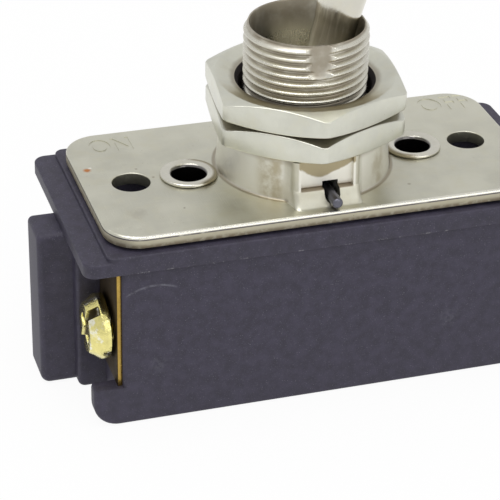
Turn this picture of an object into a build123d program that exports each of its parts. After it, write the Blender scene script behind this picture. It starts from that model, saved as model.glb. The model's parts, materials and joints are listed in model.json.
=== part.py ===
"""Two-pole ON-OFF bat-handle toggle switch with screw terminals, built piece by piece.

Millimetres. +Z is up along the bushing, +X is the long side, -Y is the plain front.
The origin is the middle of the base's underside, straight below the bushing's axis.
The lever is drawn thrown to OFF (handle towards +X).
"""
import os
from math import cos, radians, sin, sqrt, tan

from build123d import *

# ---- moulded base ----
BODY_LENGTH = 39.1
BODY_WIDTH = 20.8
BASE_HEIGHT = 15.5
SIDE_WALL = 1.56
END_WALL = 3.81
FLOOR = 1.73
MOULD_EDGE = 0.35
BARRIER_EDGE = 0.52
BARRIER_TOE = 0.87
BARRIER_REACH = 5.66
BARRIER_WIDTH = 4.39
SPINE_REACH = 2.54
SPINE_TOE = 0.69
SPINE_WIDTH = 7.17
EAR_REACH = 2.66
EAR_HEIGHT = 3.87
EAR_CORNER = 2.31
MIDWALL = 1.85
MIDWALL_SILL = 7.51
MIDWALL_WINDOW = 12.02
PILLAR_WALL = 0.98
TIP_PILLAR_WALL = 0.81

# ---- moulded cover ----
FLANGE_LENGTH = 45.7
COVER_OVERHANG = 0.23
LEDGE_THICKNESS = 1.27
PAD_LENGTH = 41.62
PAD_CORNER = 0.81
PAD_RISE = 0.46
SEAT_RISE = 0.29
SEAT_LENGTH = 36.99
SEAT_WIDTH = 7.4
SEAT_RING = 9.59
COVER_CORNER = 1.16
COVER_EDGE = 0.17
COVER_WEB = 1.1
SWING_HOLE = 4.86

# ---- mounting plate ----
PLATE_LENGTH = 40.8
PLATE_WIDTH = 20.0
PLATE_THICKNESS = 1.1
PLATE_CORNER = 3.24
PLATE_ROUND = 0.4
EYELET_SPACING = 21.5
SCREW_HOLE_SPACING = 32.15
SCREW_HOLE = 1.73
SCREW_TIP_ROOM = 0.35
SCREW_TIP_DEPTH = 5.78
BOSS_HEIGHT = 4.1
BOSS_BASE_RADIUS = 7.93
BOSS_TOP_RADIUS = 7.57
NOSE_WIDTH = 6.59
NOSE_REACH = 8.84
NOSE_SILL = 8.09
NOSE_TOP = 7.92
WINDOW_WIDTH = 4.97
WINDOW_SILL = 1.68
WINDOW_FLAT = 7.63
PIN_SLOT_WIDTH = 1.44
PIN_SLOT_LOW = 0.14
PIN_SLOT_HIGH = 1.91
PIN_SLOT_DEPTH = 5.32

# ---- threaded bushing and nuts ----
THREAD_RADIUS = 5.95
BUSHING_RISE = 13.76
BUSHING_CHAMFER = 0.45
BUSHING_FLANGE = 7.51
BUSHING_BORE = 4.16
BUSHING_MOUTH = 5.1
BORE_STRAIGHT = 3.47
KEYWAY_WIDTH = 3.35
KEYWAY_DEPTH = 0.65
KEYWAY_LENGTH = 3.53
KEYWAY_TURN = -4.9
NUT_FLATS = 16.5
NUT_THICKNESS = 2.37
NUT_TOP_ANGLE = 22
NUT_UNDER_ANGLE = 17
NUT_SINK = 2.02
NUT_SINK_DEPTH = 0.46
NUT_GAP = 0.08
LOWER_NUT_TURN = -7.2
UPPER_NUT_TURN = -6.3
THREAD_ROOM = 0.05

# ---- lever, pin and actuator ----
PIVOT_RISE = 0.72
LEVER_THROW = 24.0
PIN_RADIUS = 0.49
PIN_FRONT = 10.0
PIN_BACK = 5.32
BALL_RADIUS = 3.7
NECK_LOW_RADIUS = 2.89
NECK_LOW = 2.31
NECK_TOP_RADIUS = 1.95
HANDLE_LENGTH = 20.23
HANDLE_TIP_RADIUS = 3.64
TAIL_RADIUS = 1.73
TAIL_COVER = 3.18
ACTUATOR_NECK = 3.12
ACTUATOR_TOP = 3.81
BAR_TOP = 5.09
BAR_ROOF = 0.92
BAR_END = 0.92
BAR_THICKNESS = 5.09
PLUNGER_RADIUS = 1.39
PLUNGER_STAND = 1.85
SPRING_ROOM = 2.31
SPRING_RADIUS = 1.02
SPRING_WIRE = 0.35
SPRING_TURNS = 4

# ---- moving contacts ----
POLE_ROOM = 2.83
ROCKER_WIDTH = 3.35
ROCKER_THICKNESS = 1.04
ROCKER_END = 1.04
ROCKER_PEAK = 3.35
ROCKER_BEND = 4.39
ROCKER_DROP = 1.04
TROUGH_ANGLE = 11.0
TROUGH_RISE = 1.2
FULCRUM_RISE = 3.29
FULCRUM_RADIUS = 0.52
ROCKER_TILT = 6.0
CONTACT_X = 9.25
MOVING_CONTACT_RADIUS = 1.5
MOVING_CONTACT_HEIGHT = 0.81
FIXED_CONTACT_RADIUS = 1.62
CONTACT_GAP = 0.05
TIP_GAP = 0.18

# ---- terminals and their screws ----
STRIP = 0.44
STRIP_WIDTH = 3.81
TAB_MARGIN = 0.46
COLLAR_RADIUS = 3.01
COLLAR_LENGTH = 1.39
LOAD_FOOT_END = 7.4
TERMINAL_SCREW_Z = 8.44
SCREW_RADIUS = 1.75
SCREW_LENGTH = 3.81
SCREW_HEAD_RADIUS = 2.95
SCREW_HEAD_RIM = 0.69
SCREW_HEAD_HEIGHT = 1.79
SCREW_HEAD_TOP_RADIUS = 2.2
SCREW_SLOT = 0.92
SCREW_SLOT_DEPTH = 1.04
SCREW_CROSS = 2.77
WIRE_GAP = 0.35

# ---- tubular rivets ----
EYELET_BORE = 1.55
EYELET_WALL = 0.39
EYELET_FLANGE = 2.72
EYELET_FLANGE_HEIGHT = 0.46
EYELET_SINK = 1.04
EYELET_FOOT = 0.58

FIT = 0.05          # sliding and turning fits, on the radius
CLOSE_FIT = 0.02    # pressed or staked pieces, on the radius
LOOSE = 0.1         # pockets around fixed metal pieces

# ---- levels and places that follow from the sizes ----
END_X = BODY_LENGTH / 2
SIDE_Y = BODY_WIDTH / 2
COVER_WIDTH = BODY_WIDTH + 2 * COVER_OVERHANG
CHAMBER_X = END_X - END_WALL
CHAMBER_Y = SIDE_Y - SIDE_WALL
LEDGE_Z = BASE_HEIGHT + LEDGE_THICKNESS
PAD_Z = LEDGE_Z + PAD_RISE
SEAT_Z = PAD_Z + SEAT_RISE
PLATE_Z = SEAT_Z + PLATE_THICKNESS
BOSS_Z = PLATE_Z + BOSS_HEIGHT
PIVOT_Z = PLATE_Z + PIVOT_RISE
BUSHING_TOP_Z = PLATE_Z + BUSHING_RISE
FLANGE_Z = BASE_HEIGHT + COVER_WEB
EYELET_X = EYELET_SPACING / 2
EYELET_TUBE = EYELET_BORE + EYELET_WALL
SCREW_HOLE_X = SCREW_HOLE_SPACING / 2
STRIP_TOP = BASE_HEIGHT
FOOT_Z = FLOOR + STRIP
POLE_Y = CHAMBER_Y - POLE_ROOM
ROCKER_REACH = CONTACT_X + ROCKER_END
FULCRUM_Z = FOOT_Z + FULCRUM_RISE
TROUGH_Z = FULCRUM_Z + TROUGH_RISE
TAB_OUT = END_X + STRIP
TAB_Y = (SPINE_WIDTH / 2 + LOOSE, SIDE_Y - TAB_MARGIN)
TERMINAL_SCREW_Y = (TAB_Y[0] + TAB_Y[1]) / 2
HEAD_X = TAB_OUT + WIRE_GAP
REST_TILT = LEVER_THROW / 2
PLUNGER_TIP = PIVOT_Z - TROUGH_Z - TIP_GAP
PLUNGER_BORE_TOP = BAR_TOP + BAR_ROOF
PLUNGER_TOP = PLUNGER_BORE_TOP + SPRING_ROOM
BAR_BOTTOM = PLUNGER_TIP - PLUNGER_STAND
TAIL_LENGTH = BAR_BOTTOM - TAIL_COVER
BAR_LENGTH = 2 * (POLE_Y + PLUNGER_RADIUS + BAR_END)
PIVOT = Axis((0, 0, PIVOT_Z), (0, 1, 0))
FULCRUM = Axis((0, 0, FULCRUM_Z), (0, 1, 0))


def block(x, y, z):
    """Box between pairs of limits along X, Y and Z."""
    size = Box(x[1] - x[0], y[1] - y[0], z[1] - z[0])
    return Pos((x[0] + x[1]) / 2, (y[0] + y[1]) / 2, (z[0] + z[1]) / 2) * size


def post(x, y, z, radius):
    """Upright cylinder at (x, y) between two heights."""
    return Pos(x, y, (z[0] + z[1]) / 2) * Cylinder(radius, z[1] - z[0])


def rod_x(x, y, z, radius):
    """Cylinder along X between two limits."""
    return Pos((x[0] + x[1]) / 2, y, z) * Rot(0, 90, 0) * Cylinder(radius, x[1] - x[0])


def rod_y(x, y, z, radius):
    """Cylinder along Y between two limits."""
    return Pos(x, (y[0] + y[1]) / 2, z) * Rot(90, 0, 0) * Cylinder(radius, y[1] - y[0])


def rounded_slab(length, width, z, corner):
    """Flat slab centred on the axis, with rounded upright corners."""
    outline = RectangleRounded(length, width, corner)
    return Pos(0, 0, z[0]) * extrude(outline, z[1] - z[0])


def side_profile(points, y):
    """Polygon of (x, z) points, extruded between two places along Y."""
    flat = make_face(Polyline(*points, close=True))
    return Pos(0, y[1], 0) * extrude(Plane.XZ * flat, y[1] - y[0])


def turned(points):
    """Solid of revolution about Z from (radius, z) points."""
    return revolve(Plane.XZ * make_face(Polyline(*points, close=True)), Axis.Z)


def both_ends(make):
    """Union of a piece made at the +X end and its mirror at the -X end."""
    piece = make()
    return piece + mirror(piece, about=Plane.YZ)


# ------------------------------------------------------------------ base and cover
def end_features():
    """Barrier between the two terminals, its thicker root, and the two low ears."""
    tip = END_X + BARRIER_REACH
    barrier_y = (-BARRIER_WIDTH / 2, BARRIER_WIDTH / 2)
    piece = block((END_X - MOULD_EDGE, tip), barrier_y, (0, BASE_HEIGHT))
    toe = piece.edges().filter_by(Axis.Y).group_by(Axis.Z)[0].sort_by(Axis.X)[-1]
    piece = fillet(toe, BARRIER_TOE)
    outer = [edge for edge in piece.edges() if edge.center().X > END_X]
    piece = fillet(outer, BARRIER_EDGE)
    spine_x = (END_X - MOULD_EDGE, END_X + SPINE_REACH)
    spine = block(spine_x, (-SPINE_WIDTH / 2, SPINE_WIDTH / 2), (0, BASE_HEIGHT))
    toe = spine.edges().filter_by(Axis.Y).group_by(Axis.Z)[0].sort_by(Axis.X)[-1]
    spine = fillet(toe, SPINE_TOE)
    piece += fillet(spine.faces().sort_by(Axis.X)[-1].edges().filter_by(Axis.Z), MOULD_EDGE)
    ear = block((END_X - SIDE_WALL, END_X + EAR_REACH), (0, SIDE_WALL), (0, EAR_HEIGHT))
    low_corner = ear.edges().filter_by(Axis.Y).group_by(Axis.Z)[0].sort_by(Axis.X)[-1]
    ear = fillet(low_corner, EAR_CORNER)
    ear = fillet(ear.faces().sort_by(Axis.X)[-1].edges(), MOULD_EDGE)
    piece += Pos(0, SIDE_Y - SIDE_WALL, 0) * ear
    piece += Pos(0, -SIDE_Y, 0) * ear
    return piece


def strip_pocket(side, end):
    """Room in an end wall for one terminal's bridge, collar and screw."""
    bridge_y = sorted(side * (POLE_Y + s * (STRIP_WIDTH / 2 + LOOSE)) for s in (-1, 1))
    bridge_x = sorted((end * CHAMBER_X - end, end * (END_X + STRIP)))
    cut = block(bridge_x, bridge_y, (STRIP_TOP - STRIP, BASE_HEIGHT + STRIP))
    inside = END_X - COLLAR_LENGTH - LOOSE
    collar_x = sorted((end * inside, end * (END_X + STRIP)))
    cut += rod_x(collar_x, side * TERMINAL_SCREW_Y, TERMINAL_SCREW_Z, COLLAR_RADIUS + LOOSE)
    tip = HEAD_X - SCREW_LENGTH - LOOSE
    tip_x = sorted((end * tip, end * (END_X + STRIP)))
    cut += rod_x(tip_x, side * TERMINAL_SCREW_Y, TERMINAL_SCREW_Z, SCREW_RADIUS + LOOSE)
    return cut


def make_base():
    """Open-topped moulding: two chambers, a mid wall with rivet pillars, barriers and ears."""
    base = block((-END_X, END_X), (-SIDE_Y, SIDE_Y), (0, BASE_HEIGHT))
    base = fillet(base.edges().filter_by(Axis.Z), MOULD_EDGE)
    base = fillet(base.faces().sort_by(Axis.Z)[0].edges(), MOULD_EDGE)
    base += both_ends(end_features)
    inner_x = (-CHAMBER_X, CHAMBER_X)
    for side in (-1, 1):
        y = sorted((side * MIDWALL / 2, side * CHAMBER_Y))
        chamber = block(inner_x, y, (FLOOR, BASE_HEIGHT))
        for end in (-1, 1):
            pillar = EYELET_TUBE + CLOSE_FIT + PILLAR_WALL
            chamber -= post(end * EYELET_X, 0, (0, BASE_HEIGHT), pillar)
            tip_pillar = SCREW_HOLE + SCREW_TIP_ROOM + TIP_PILLAR_WALL
            chamber -= post(end * SCREW_HOLE_X, 0, (0, BASE_HEIGHT), tip_pillar)
        base -= chamber
        for end in (-1, 1):
            base -= strip_pocket(side, end)
    window_x = (-MIDWALL_WINDOW / 2, MIDWALL_WINDOW / 2)
    base -= block(window_x, (-MIDWALL, MIDWALL), (MIDWALL_SILL, BASE_HEIGHT))
    for end in (-1, 1):
        base -= post(end * EYELET_X, 0, (0, BASE_HEIGHT), EYELET_TUBE + CLOSE_FIT)
        base -= post(end * EYELET_X, 0, (0, EYELET_SINK), EYELET_FLANGE + LOOSE)
        tip_z = (BASE_HEIGHT - SCREW_TIP_DEPTH, BASE_HEIGHT)
        base -= post(end * SCREW_HOLE_X, 0, tip_z, SCREW_HOLE + SCREW_TIP_ROOM)
    return base


def make_cover():
    """Moulded lid: end ledges, raised pad, and a seat that the metal plate lies on."""
    flange = rounded_slab(FLANGE_LENGTH, COVER_WIDTH, (BASE_HEIGHT, LEDGE_Z), COVER_CORNER)
    flange = fillet(flange.faces().sort_by(Axis.Z)[-1].edges(), COVER_EDGE)
    pad = rounded_slab(PAD_LENGTH, COVER_WIDTH, (BASE_HEIGHT, PAD_Z), PAD_CORNER)
    pad = fillet(pad.faces().sort_by(Axis.Z)[-1].edges(), COVER_EDGE)
    cover = flange + pad
    cover += rounded_slab(SEAT_LENGTH, SEAT_WIDTH, (PAD_Z, SEAT_Z), SEAT_WIDTH / 3)
    cover += post(0, 0, (PAD_Z, SEAT_Z), SEAT_RING)
    cover -= post(0, 0, (FLANGE_Z, SEAT_Z), BUSHING_FLANGE + LOOSE)
    cover -= post(0, 0, (BASE_HEIGHT, FLANGE_Z), SWING_HOLE)
    for end in (-1, 1):
        cover -= post(end * EYELET_X, 0, (BASE_HEIGHT, SEAT_Z), EYELET_TUBE + CLOSE_FIT)
        cover -= post(end * SCREW_HOLE_X, 0, (BASE_HEIGHT, SEAT_Z), SCREW_HOLE + SCREW_TIP_ROOM)
    return cover


# ------------------------------------------------------------------ metal frame
def nose_profile(front):
    """(y, z) outline of the pressed nose in front of the boss, back to y = -front."""
    return [
        (-front, PLATE_Z),
        (-NOSE_REACH, PLATE_Z),
        (-NOSE_SILL, PLATE_Z + WINDOW_SILL),
        (-NOSE_TOP, BOSS_Z),
        (-front, BOSS_Z),
    ]


def nose_prism(front):
    """The nose outline as a prism as wide as the nose."""
    flat = make_face(Polyline(*nose_profile(front), close=True))
    return extrude(Plane.YZ * flat, NOSE_WIDTH / 2, both=True)


def pin_slot():
    """Slot in the front of the boss that the pivot pin passes through."""
    z = (PLATE_Z + PIN_SLOT_LOW, PLATE_Z + PIN_SLOT_HIGH)
    half = PIN_SLOT_WIDTH / 2
    slot = block((-half, half), (-NOSE_REACH - 1, -PIN_SLOT_DEPTH), (z[0] + half / 2, z[1]))
    return slot + rod_y(0, (-NOSE_REACH - 1, -PIN_SLOT_DEPTH), z[0] + half, half)


def make_plate():
    """Stamped steel plate with a drawn boss, a pressed nose and four holes."""
    plate = rounded_slab(PLATE_LENGTH, PLATE_WIDTH, (SEAT_Z, PLATE_Z), PLATE_CORNER)
    plate = fillet(plate.faces().sort_by(Axis.Z)[-1].edges(), PLATE_ROUND)
    boss = Pos(0, 0, PLATE_Z) * Cone(
        BOSS_BASE_RADIUS, BOSS_TOP_RADIUS, BOSS_HEIGHT, align=(Align.CENTER, Align.CENTER, Align.MIN)
    )
    boss -= nose_prism(2 * NOSE_REACH)
    plate += boss
    plate += nose_prism(BUSHING_BORE)
    window_x = (-WINDOW_WIDTH / 2, WINDOW_WIDTH / 2)
    window_z = (PLATE_Z + WINDOW_SILL, BOSS_Z)
    plate -= block(window_x, (-NOSE_REACH, -WINDOW_FLAT), window_z)
    plate -= pin_slot()
    plate -= post(0, 0, (SEAT_Z, BOSS_Z), THREAD_RADIUS + CLOSE_FIT)
    for end in (-1, 1):
        plate -= post(end * EYELET_X, 0, (SEAT_Z, PLATE_Z), EYELET_TUBE + CLOSE_FIT)
        plate -= post(end * SCREW_HOLE_X, 0, (SEAT_Z, PLATE_Z), SCREW_HOLE)
    return plate


def keyway():
    """Round-bottomed groove down the front of the thread, as a ball-ended cutter leaves it."""
    half = KEYWAY_WIDTH / 2
    cutter = (half**2 + KEYWAY_DEPTH**2) / (2 * KEYWAY_DEPTH)
    y = KEYWAY_DEPTH - THREAD_RADIUS - cutter
    low = BUSHING_TOP_Z - KEYWAY_LENGTH + half
    groove = post(0, y, (low, BUSHING_TOP_Z + 1), cutter) + Pos(0, y, low) * Sphere(cutter)
    return groove.rotate(Axis.Z, KEYWAY_TURN)


def make_bushing():
    """Threaded bushing, staked in the plate: a plain cylinder at the thread's major diameter."""
    straight = PIVOT_Z + BORE_STRAIGHT
    bushing = turned([
        (BUSHING_BORE, FLANGE_Z),
        (BUSHING_FLANGE, FLANGE_Z),
        (BUSHING_FLANGE, SEAT_Z),
        (THREAD_RADIUS, SEAT_Z),
        (THREAD_RADIUS, BUSHING_TOP_Z - BUSHING_CHAMFER),
        (THREAD_RADIUS - BUSHING_CHAMFER, BUSHING_TOP_Z),
        (BUSHING_MOUTH, BUSHING_TOP_Z),
        (BUSHING_BORE, straight),
    ])
    bushing -= keyway()
    bushing -= pin_slot()
    bushing -= rod_y(0, (-NOSE_REACH, PIN_BACK + LOOSE), PIVOT_Z, PIN_RADIUS + CLOSE_FIT)
    return bushing


def make_nut(bottom, turn):
    """Thin hexagon nut, corners chamfered on both faces and the bore countersunk on top."""
    corner = NUT_FLATS / sqrt(3)
    top = bottom + NUT_THICKNESS
    flat_radius = NUT_FLATS / 2
    bore = THREAD_RADIUS + THREAD_ROOM
    top_drop = (corner - flat_radius) * tan(radians(NUT_TOP_ANGLE))
    under_rise = (corner - flat_radius) * tan(radians(NUT_UNDER_ANGLE))
    hexagon = RegularPolygon(corner, 6, rotation=turn - 90)
    nut = Pos(0, 0, bottom) * extrude(hexagon, NUT_THICKNESS)
    return nut & turned([
        (bore, bottom),
        (flat_radius, bottom),
        (corner, bottom + under_rise),
        (corner, top - top_drop),
        (flat_radius, top),
        (bore + NUT_SINK, top),
        (bore, top - NUT_SINK_DEPTH),
    ])


def make_eyelet(end):
    """Tubular rivet from the plate's face to a sunk foot under the base."""
    top = PLATE_Z + EYELET_FLANGE_HEIGHT
    foot = EYELET_SINK - EYELET_FOOT
    roll = EYELET_FLANGE_HEIGHT / 2
    eyelet = turned([
        (EYELET_BORE, foot),
        (EYELET_FLANGE, foot),
        (EYELET_FLANGE, EYELET_SINK),
        (EYELET_TUBE, EYELET_SINK),
        (EYELET_TUBE, PLATE_Z),
        (EYELET_FLANGE, PLATE_Z),
        (EYELET_FLANGE, PLATE_Z + roll / 2),
        (EYELET_FLANGE - roll, top),
        (EYELET_BORE + roll, top),
        (EYELET_BORE, PLATE_Z - roll),
    ])
    return Pos(end * EYELET_X, 0, 0) * eyelet


# ------------------------------------------------------------------ lever and what it carries
def make_lever():
    """Bat handle, pivot ball and tail in one piece, thrown to OFF."""
    neck_top = PIVOT_Z + BUSHING_RISE - PIVOT_RISE
    tip = neck_top + HANDLE_LENGTH
    lever = Pos(0, 0, PIVOT_Z) * Sphere(BALL_RADIUS)
    lever += post(0, 0, (PIVOT_Z - TAIL_LENGTH, PIVOT_Z), TAIL_RADIUS)
    lever += turned([
        (0, PIVOT_Z),
        (NECK_LOW_RADIUS, PIVOT_Z + NECK_LOW),
        (NECK_TOP_RADIUS, neck_top),
        (HANDLE_TIP_RADIUS, tip - HANDLE_TIP_RADIUS),
        (0, tip - HANDLE_TIP_RADIUS),
    ])
    lever += Pos(0, 0, tip - HANDLE_TIP_RADIUS) * Sphere(HANDLE_TIP_RADIUS)
    lever -= rod_y(0, (-BALL_RADIUS, BALL_RADIUS), PIVOT_Z, PIN_RADIUS + FIT)
    return lever.rotate(PIVOT, REST_TILT)


def make_pin():
    """Steel pivot pin, held in the bushing's wall, its front end standing out of the slot."""
    return rod_y(0, (-PIN_FRONT, PIN_BACK), PIVOT_Z, PIN_RADIUS)


def make_actuator():
    """Insulating cross bar on the lever's tail, with a blind bore over each pole."""
    half = BAR_LENGTH / 2
    thick = BAR_THICKNESS / 2
    bar = block((-thick, thick), (-half, half), (PIVOT_Z - BAR_BOTTOM, PIVOT_Z - BAR_TOP))
    bar = fillet(bar.edges().filter_by(Axis.Z), MOULD_EDGE)
    bar += post(0, 0, (PIVOT_Z - BAR_TOP, PIVOT_Z - ACTUATOR_TOP), ACTUATOR_NECK)
    tail = (PIVOT_Z - TAIL_LENGTH, PIVOT_Z)
    bar -= post(0, 0, tail, TAIL_RADIUS + CLOSE_FIT)
    bar -= Pos(0, 0, PIVOT_Z) * Sphere(BALL_RADIUS + CLOSE_FIT)
    bore = (PIVOT_Z - BAR_BOTTOM, PIVOT_Z - PLUNGER_BORE_TOP)
    for side in (-1, 1):
        bar -= post(0, side * POLE_Y, bore, PLUNGER_RADIUS + FIT)
    return bar.rotate(PIVOT, REST_TILT)


def make_plunger(side):
    """Round-nosed plunger that slides in the cross bar and presses on the rocker."""
    centre = PIVOT_Z - PLUNGER_TIP + PLUNGER_RADIUS
    plunger = post(0, side * POLE_Y, (centre, PIVOT_Z - PLUNGER_TOP), PLUNGER_RADIUS)
    plunger += Pos(0, side * POLE_Y, centre) * Sphere(PLUNGER_RADIUS)
    return plunger.rotate(PIVOT, REST_TILT)


def make_spring(side):
    """Compression spring between the cross bar's bore and its plunger."""
    low = PIVOT_Z - PLUNGER_TOP + SPRING_WIRE / 2 + CLOSE_FIT
    high = PIVOT_Z - PLUNGER_BORE_TOP - SPRING_WIRE / 2 - CLOSE_FIT
    pitch = (high - low) / SPRING_TURNS
    path = Pos(0, side * POLE_Y, low) * Helix(pitch, high - low, SPRING_RADIUS)
    start = Plane(origin=path @ 0, z_dir=path % 0)
    spring = sweep(start * Circle(SPRING_WIRE / 2), path, is_frenet=True)
    return spring.rotate(PIVOT, REST_TILT)


# ------------------------------------------------------------------ contacts
def rocker_top(x):
    """Height of the level rocker's upper face at a distance x from its fulcrum."""
    x = abs(x)
    peak = TROUGH_Z + ROCKER_PEAK * tan(radians(TROUGH_ANGLE))
    bend = peak - (ROCKER_BEND - ROCKER_PEAK) / 2
    if x <= ROCKER_PEAK:
        return TROUGH_Z + x * tan(radians(TROUGH_ANGLE))
    if x <= ROCKER_BEND:
        return peak + (bend - peak) * (x - ROCKER_PEAK) / (ROCKER_BEND - ROCKER_PEAK)
    return bend - ROCKER_DROP * (x - ROCKER_BEND) / (ROCKER_REACH - ROCKER_BEND)


def tilted_height(x, z, tilt):
    """Height of the point (x, z) of the level rocker when its +X end goes down by tilt."""
    return FULCRUM_Z + (z - FULCRUM_Z) * cos(radians(tilt)) - x * sin(radians(tilt))


def pole_y(side, width):
    """Limits along Y of a strip of this width, centred on one pole."""
    return (side * POLE_Y - width / 2, side * POLE_Y + width / 2)


def make_rocker(side):
    """Gull-winged contact arm that rocks on the line terminal's saddle, open at OFF."""
    marks = [ROCKER_REACH, ROCKER_BEND, ROCKER_PEAK]
    xs = [-x for x in marks] + [0] + marks[::-1]
    top = [(x, rocker_top(x)) for x in xs]
    under = [(x, rocker_top(x) - ROCKER_THICKNESS) for x in reversed(xs)]
    y = pole_y(side, ROCKER_WIDTH)
    rocker = side_profile(top + under, y)
    rocker -= rod_y(0, y, FULCRUM_Z, FULCRUM_RADIUS + FIT)
    return rocker.rotate(FULCRUM, -ROCKER_TILT)


def moving_contact_face():
    """Height of the moving contact's face while the rocker is level."""
    return rocker_top(CONTACT_X + MOVING_CONTACT_RADIUS / 2) - ROCKER_THICKNESS - MOVING_CONTACT_HEIGHT


def make_moving_contact(side):
    """Contact button under the rocker's +X arm."""
    under = rocker_top(CONTACT_X - MOVING_CONTACT_RADIUS) - ROCKER_THICKNESS
    button = post(CONTACT_X, side * POLE_Y, (moving_contact_face(), under), MOVING_CONTACT_RADIUS)
    span = (CONTACT_X - 2 * MOVING_CONTACT_RADIUS, ROCKER_REACH)
    over = [(x, rocker_top(x) - ROCKER_THICKNESS) for x in span]
    lid = side_profile(over + [(span[1], under + 1), (span[0], under + 1)], pole_y(side, 2 * ROCKER_WIDTH))
    return (button - lid).rotate(FULCRUM, -ROCKER_TILT)


def fixed_contact_face():
    """Height at which the fixed contact just meets the closed, tilted moving contact."""
    outer = CONTACT_X + MOVING_CONTACT_RADIUS
    return tilted_height(outer, moving_contact_face(), ROCKER_TILT) - CONTACT_GAP


def make_fixed_contact(side):
    """Contact button on the load terminal's foot."""
    return post(CONTACT_X, side * POLE_Y, (FOOT_Z, fixed_contact_face()), FIXED_CONTACT_RADIUS)


def terminal_shell(side):
    """Tab, tapped collar, bridge over the wall and inner leg, drawn at the +X end."""
    tab_y = sorted((side * TAB_Y[0], side * TAB_Y[1]))
    strip_y = pole_y(side, STRIP_WIDTH)
    piece = block((END_X, TAB_OUT), tab_y, (EAR_HEIGHT, STRIP_TOP))
    piece += block((CHAMBER_X - STRIP, TAB_OUT), strip_y, (STRIP_TOP - STRIP, STRIP_TOP))
    piece += block((CHAMBER_X - STRIP, CHAMBER_X), strip_y, (FLOOR, STRIP_TOP))
    collar_x = (END_X - COLLAR_LENGTH, END_X)
    piece += rod_x(collar_x, side * TERMINAL_SCREW_Y, TERMINAL_SCREW_Z, COLLAR_RADIUS)
    hole_x = (collar_x[0], TAB_OUT)
    return piece - rod_x(hole_x, side * TERMINAL_SCREW_Y, TERMINAL_SCREW_Z, SCREW_RADIUS + FIT)


def make_load_terminal(side):
    """Strip at the +X end; its foot carries the fixed contact."""
    foot = block((LOAD_FOOT_END, CHAMBER_X), pole_y(side, STRIP_WIDTH), (FLOOR, FOOT_Z))
    return terminal_shell(side) + foot


def make_line_terminal(side):
    """Strip at the -X end; its foot ends in the saddle and has a stop for the open rocker."""
    y = pole_y(side, STRIP_WIDTH)
    piece = mirror(terminal_shell(side), about=Plane.YZ)
    piece += block((-CHAMBER_X, FULCRUM_RADIUS), y, (FLOOR, FOOT_Z))
    piece += block((-FULCRUM_RADIUS, FULCRUM_RADIUS), y, (FLOOR, FULCRUM_Z))
    piece += rod_y(0, y, FULCRUM_Z, FULCRUM_RADIUS)
    under = rocker_top(ROCKER_REACH) - ROCKER_THICKNESS
    stop_top = tilted_height(ROCKER_REACH, under, ROCKER_TILT) - CONTACT_GAP
    stop_x = -CONTACT_X
    return piece + post(stop_x, side * POLE_Y, (FOOT_Z, stop_top), MOVING_CONTACT_RADIUS / 2)


def make_terminal_screw(side, end):
    """Binding-head screw with a slot and a cross recess, run in to just clear its tab."""
    rim = HEAD_X + SCREW_HEAD_RIM
    top = HEAD_X + SCREW_HEAD_HEIGHT
    screw = turned([
        (0, HEAD_X - SCREW_LENGTH),
        (SCREW_RADIUS - 2 * FIT, HEAD_X - SCREW_LENGTH),
        (SCREW_RADIUS, HEAD_X - SCREW_LENGTH + 2 * FIT),
        (SCREW_RADIUS, HEAD_X),
        (SCREW_HEAD_RADIUS, HEAD_X),
        (SCREW_HEAD_RADIUS, rim),
        (SCREW_HEAD_TOP_RADIUS, top),
        (0, top),
    ])
    floor = top - SCREW_SLOT_DEPTH
    half = SCREW_SLOT / 2
    screw -= block((-SCREW_HEAD_RADIUS, SCREW_HEAD_RADIUS), (-half, half), (floor, top))
    screw -= block((-half, half), (-SCREW_CROSS / 2, SCREW_CROSS / 2), (floor, top))
    screw = Rot(0, 90, 0) * Rot(0, 0, 30) * screw
    screw = Pos(0, side * TERMINAL_SCREW_Y, TERMINAL_SCREW_Z) * screw
    return screw if end > 0 else mirror(screw, about=Plane.YZ)


# ------------------------------------------------------------------ the whole switch
SIDES = {"front": -1, "back": 1}
ENDS = {"left": -1, "right": 1}


def all_nodes():
    """Every node of the switch, by name."""
    nodes = {
        "base": make_base(),
        "cover": make_cover(),
        "mounting_plate": make_plate(),
        "bushing": make_bushing(),
        "lower_nut": make_nut(BOSS_Z, LOWER_NUT_TURN),
        "upper_nut": make_nut(BOSS_Z + NUT_THICKNESS + NUT_GAP, UPPER_NUT_TURN),
        "lever": make_lever(),
        "pivot_pin": make_pin(),
        "actuator": make_actuator(),
    }
    for end, x in ENDS.items():
        nodes[f"eyelet_{end}"] = make_eyelet(x)
    for side, y in SIDES.items():
        nodes[f"plunger_{side}"] = make_plunger(y)
        nodes[f"toggle_spring_{side}"] = make_spring(y)
        nodes[f"rocker_{side}"] = make_rocker(y)
        nodes[f"moving_contact_{side}"] = make_moving_contact(y)
        nodes[f"fixed_contact_{side}"] = make_fixed_contact(y)
        nodes[f"line_terminal_{side}"] = make_line_terminal(y)
        nodes[f"load_terminal_{side}"] = make_load_terminal(y)
        for end, x in ENDS.items():
            nodes[f"terminal_screw_{end}_{side}"] = make_terminal_screw(y, x)
    return nodes


os.makedirs("parts", exist_ok=True)
for name, solid in all_nodes().items():
    export_step(solid, f"parts/{name}.step")
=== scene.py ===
"""Looks for the two-pole toggle switch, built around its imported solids.

Shapes are worked out in drawing units and written to meshes in metres. One unit is about 1.16 mm:
the sizes below are drawn for a thread 5.15 units in radius, and follow the frame's real one.
"""
import json
import math
from types import SimpleNamespace

import bmesh
import bpy
import numpy as np
from bpy.props import FloatProperty, FloatVectorProperty, PointerProperty, StringProperty
from mathutils import Matrix, Vector
from mathutils.geometry import delaunay_2d_cdt


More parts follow.
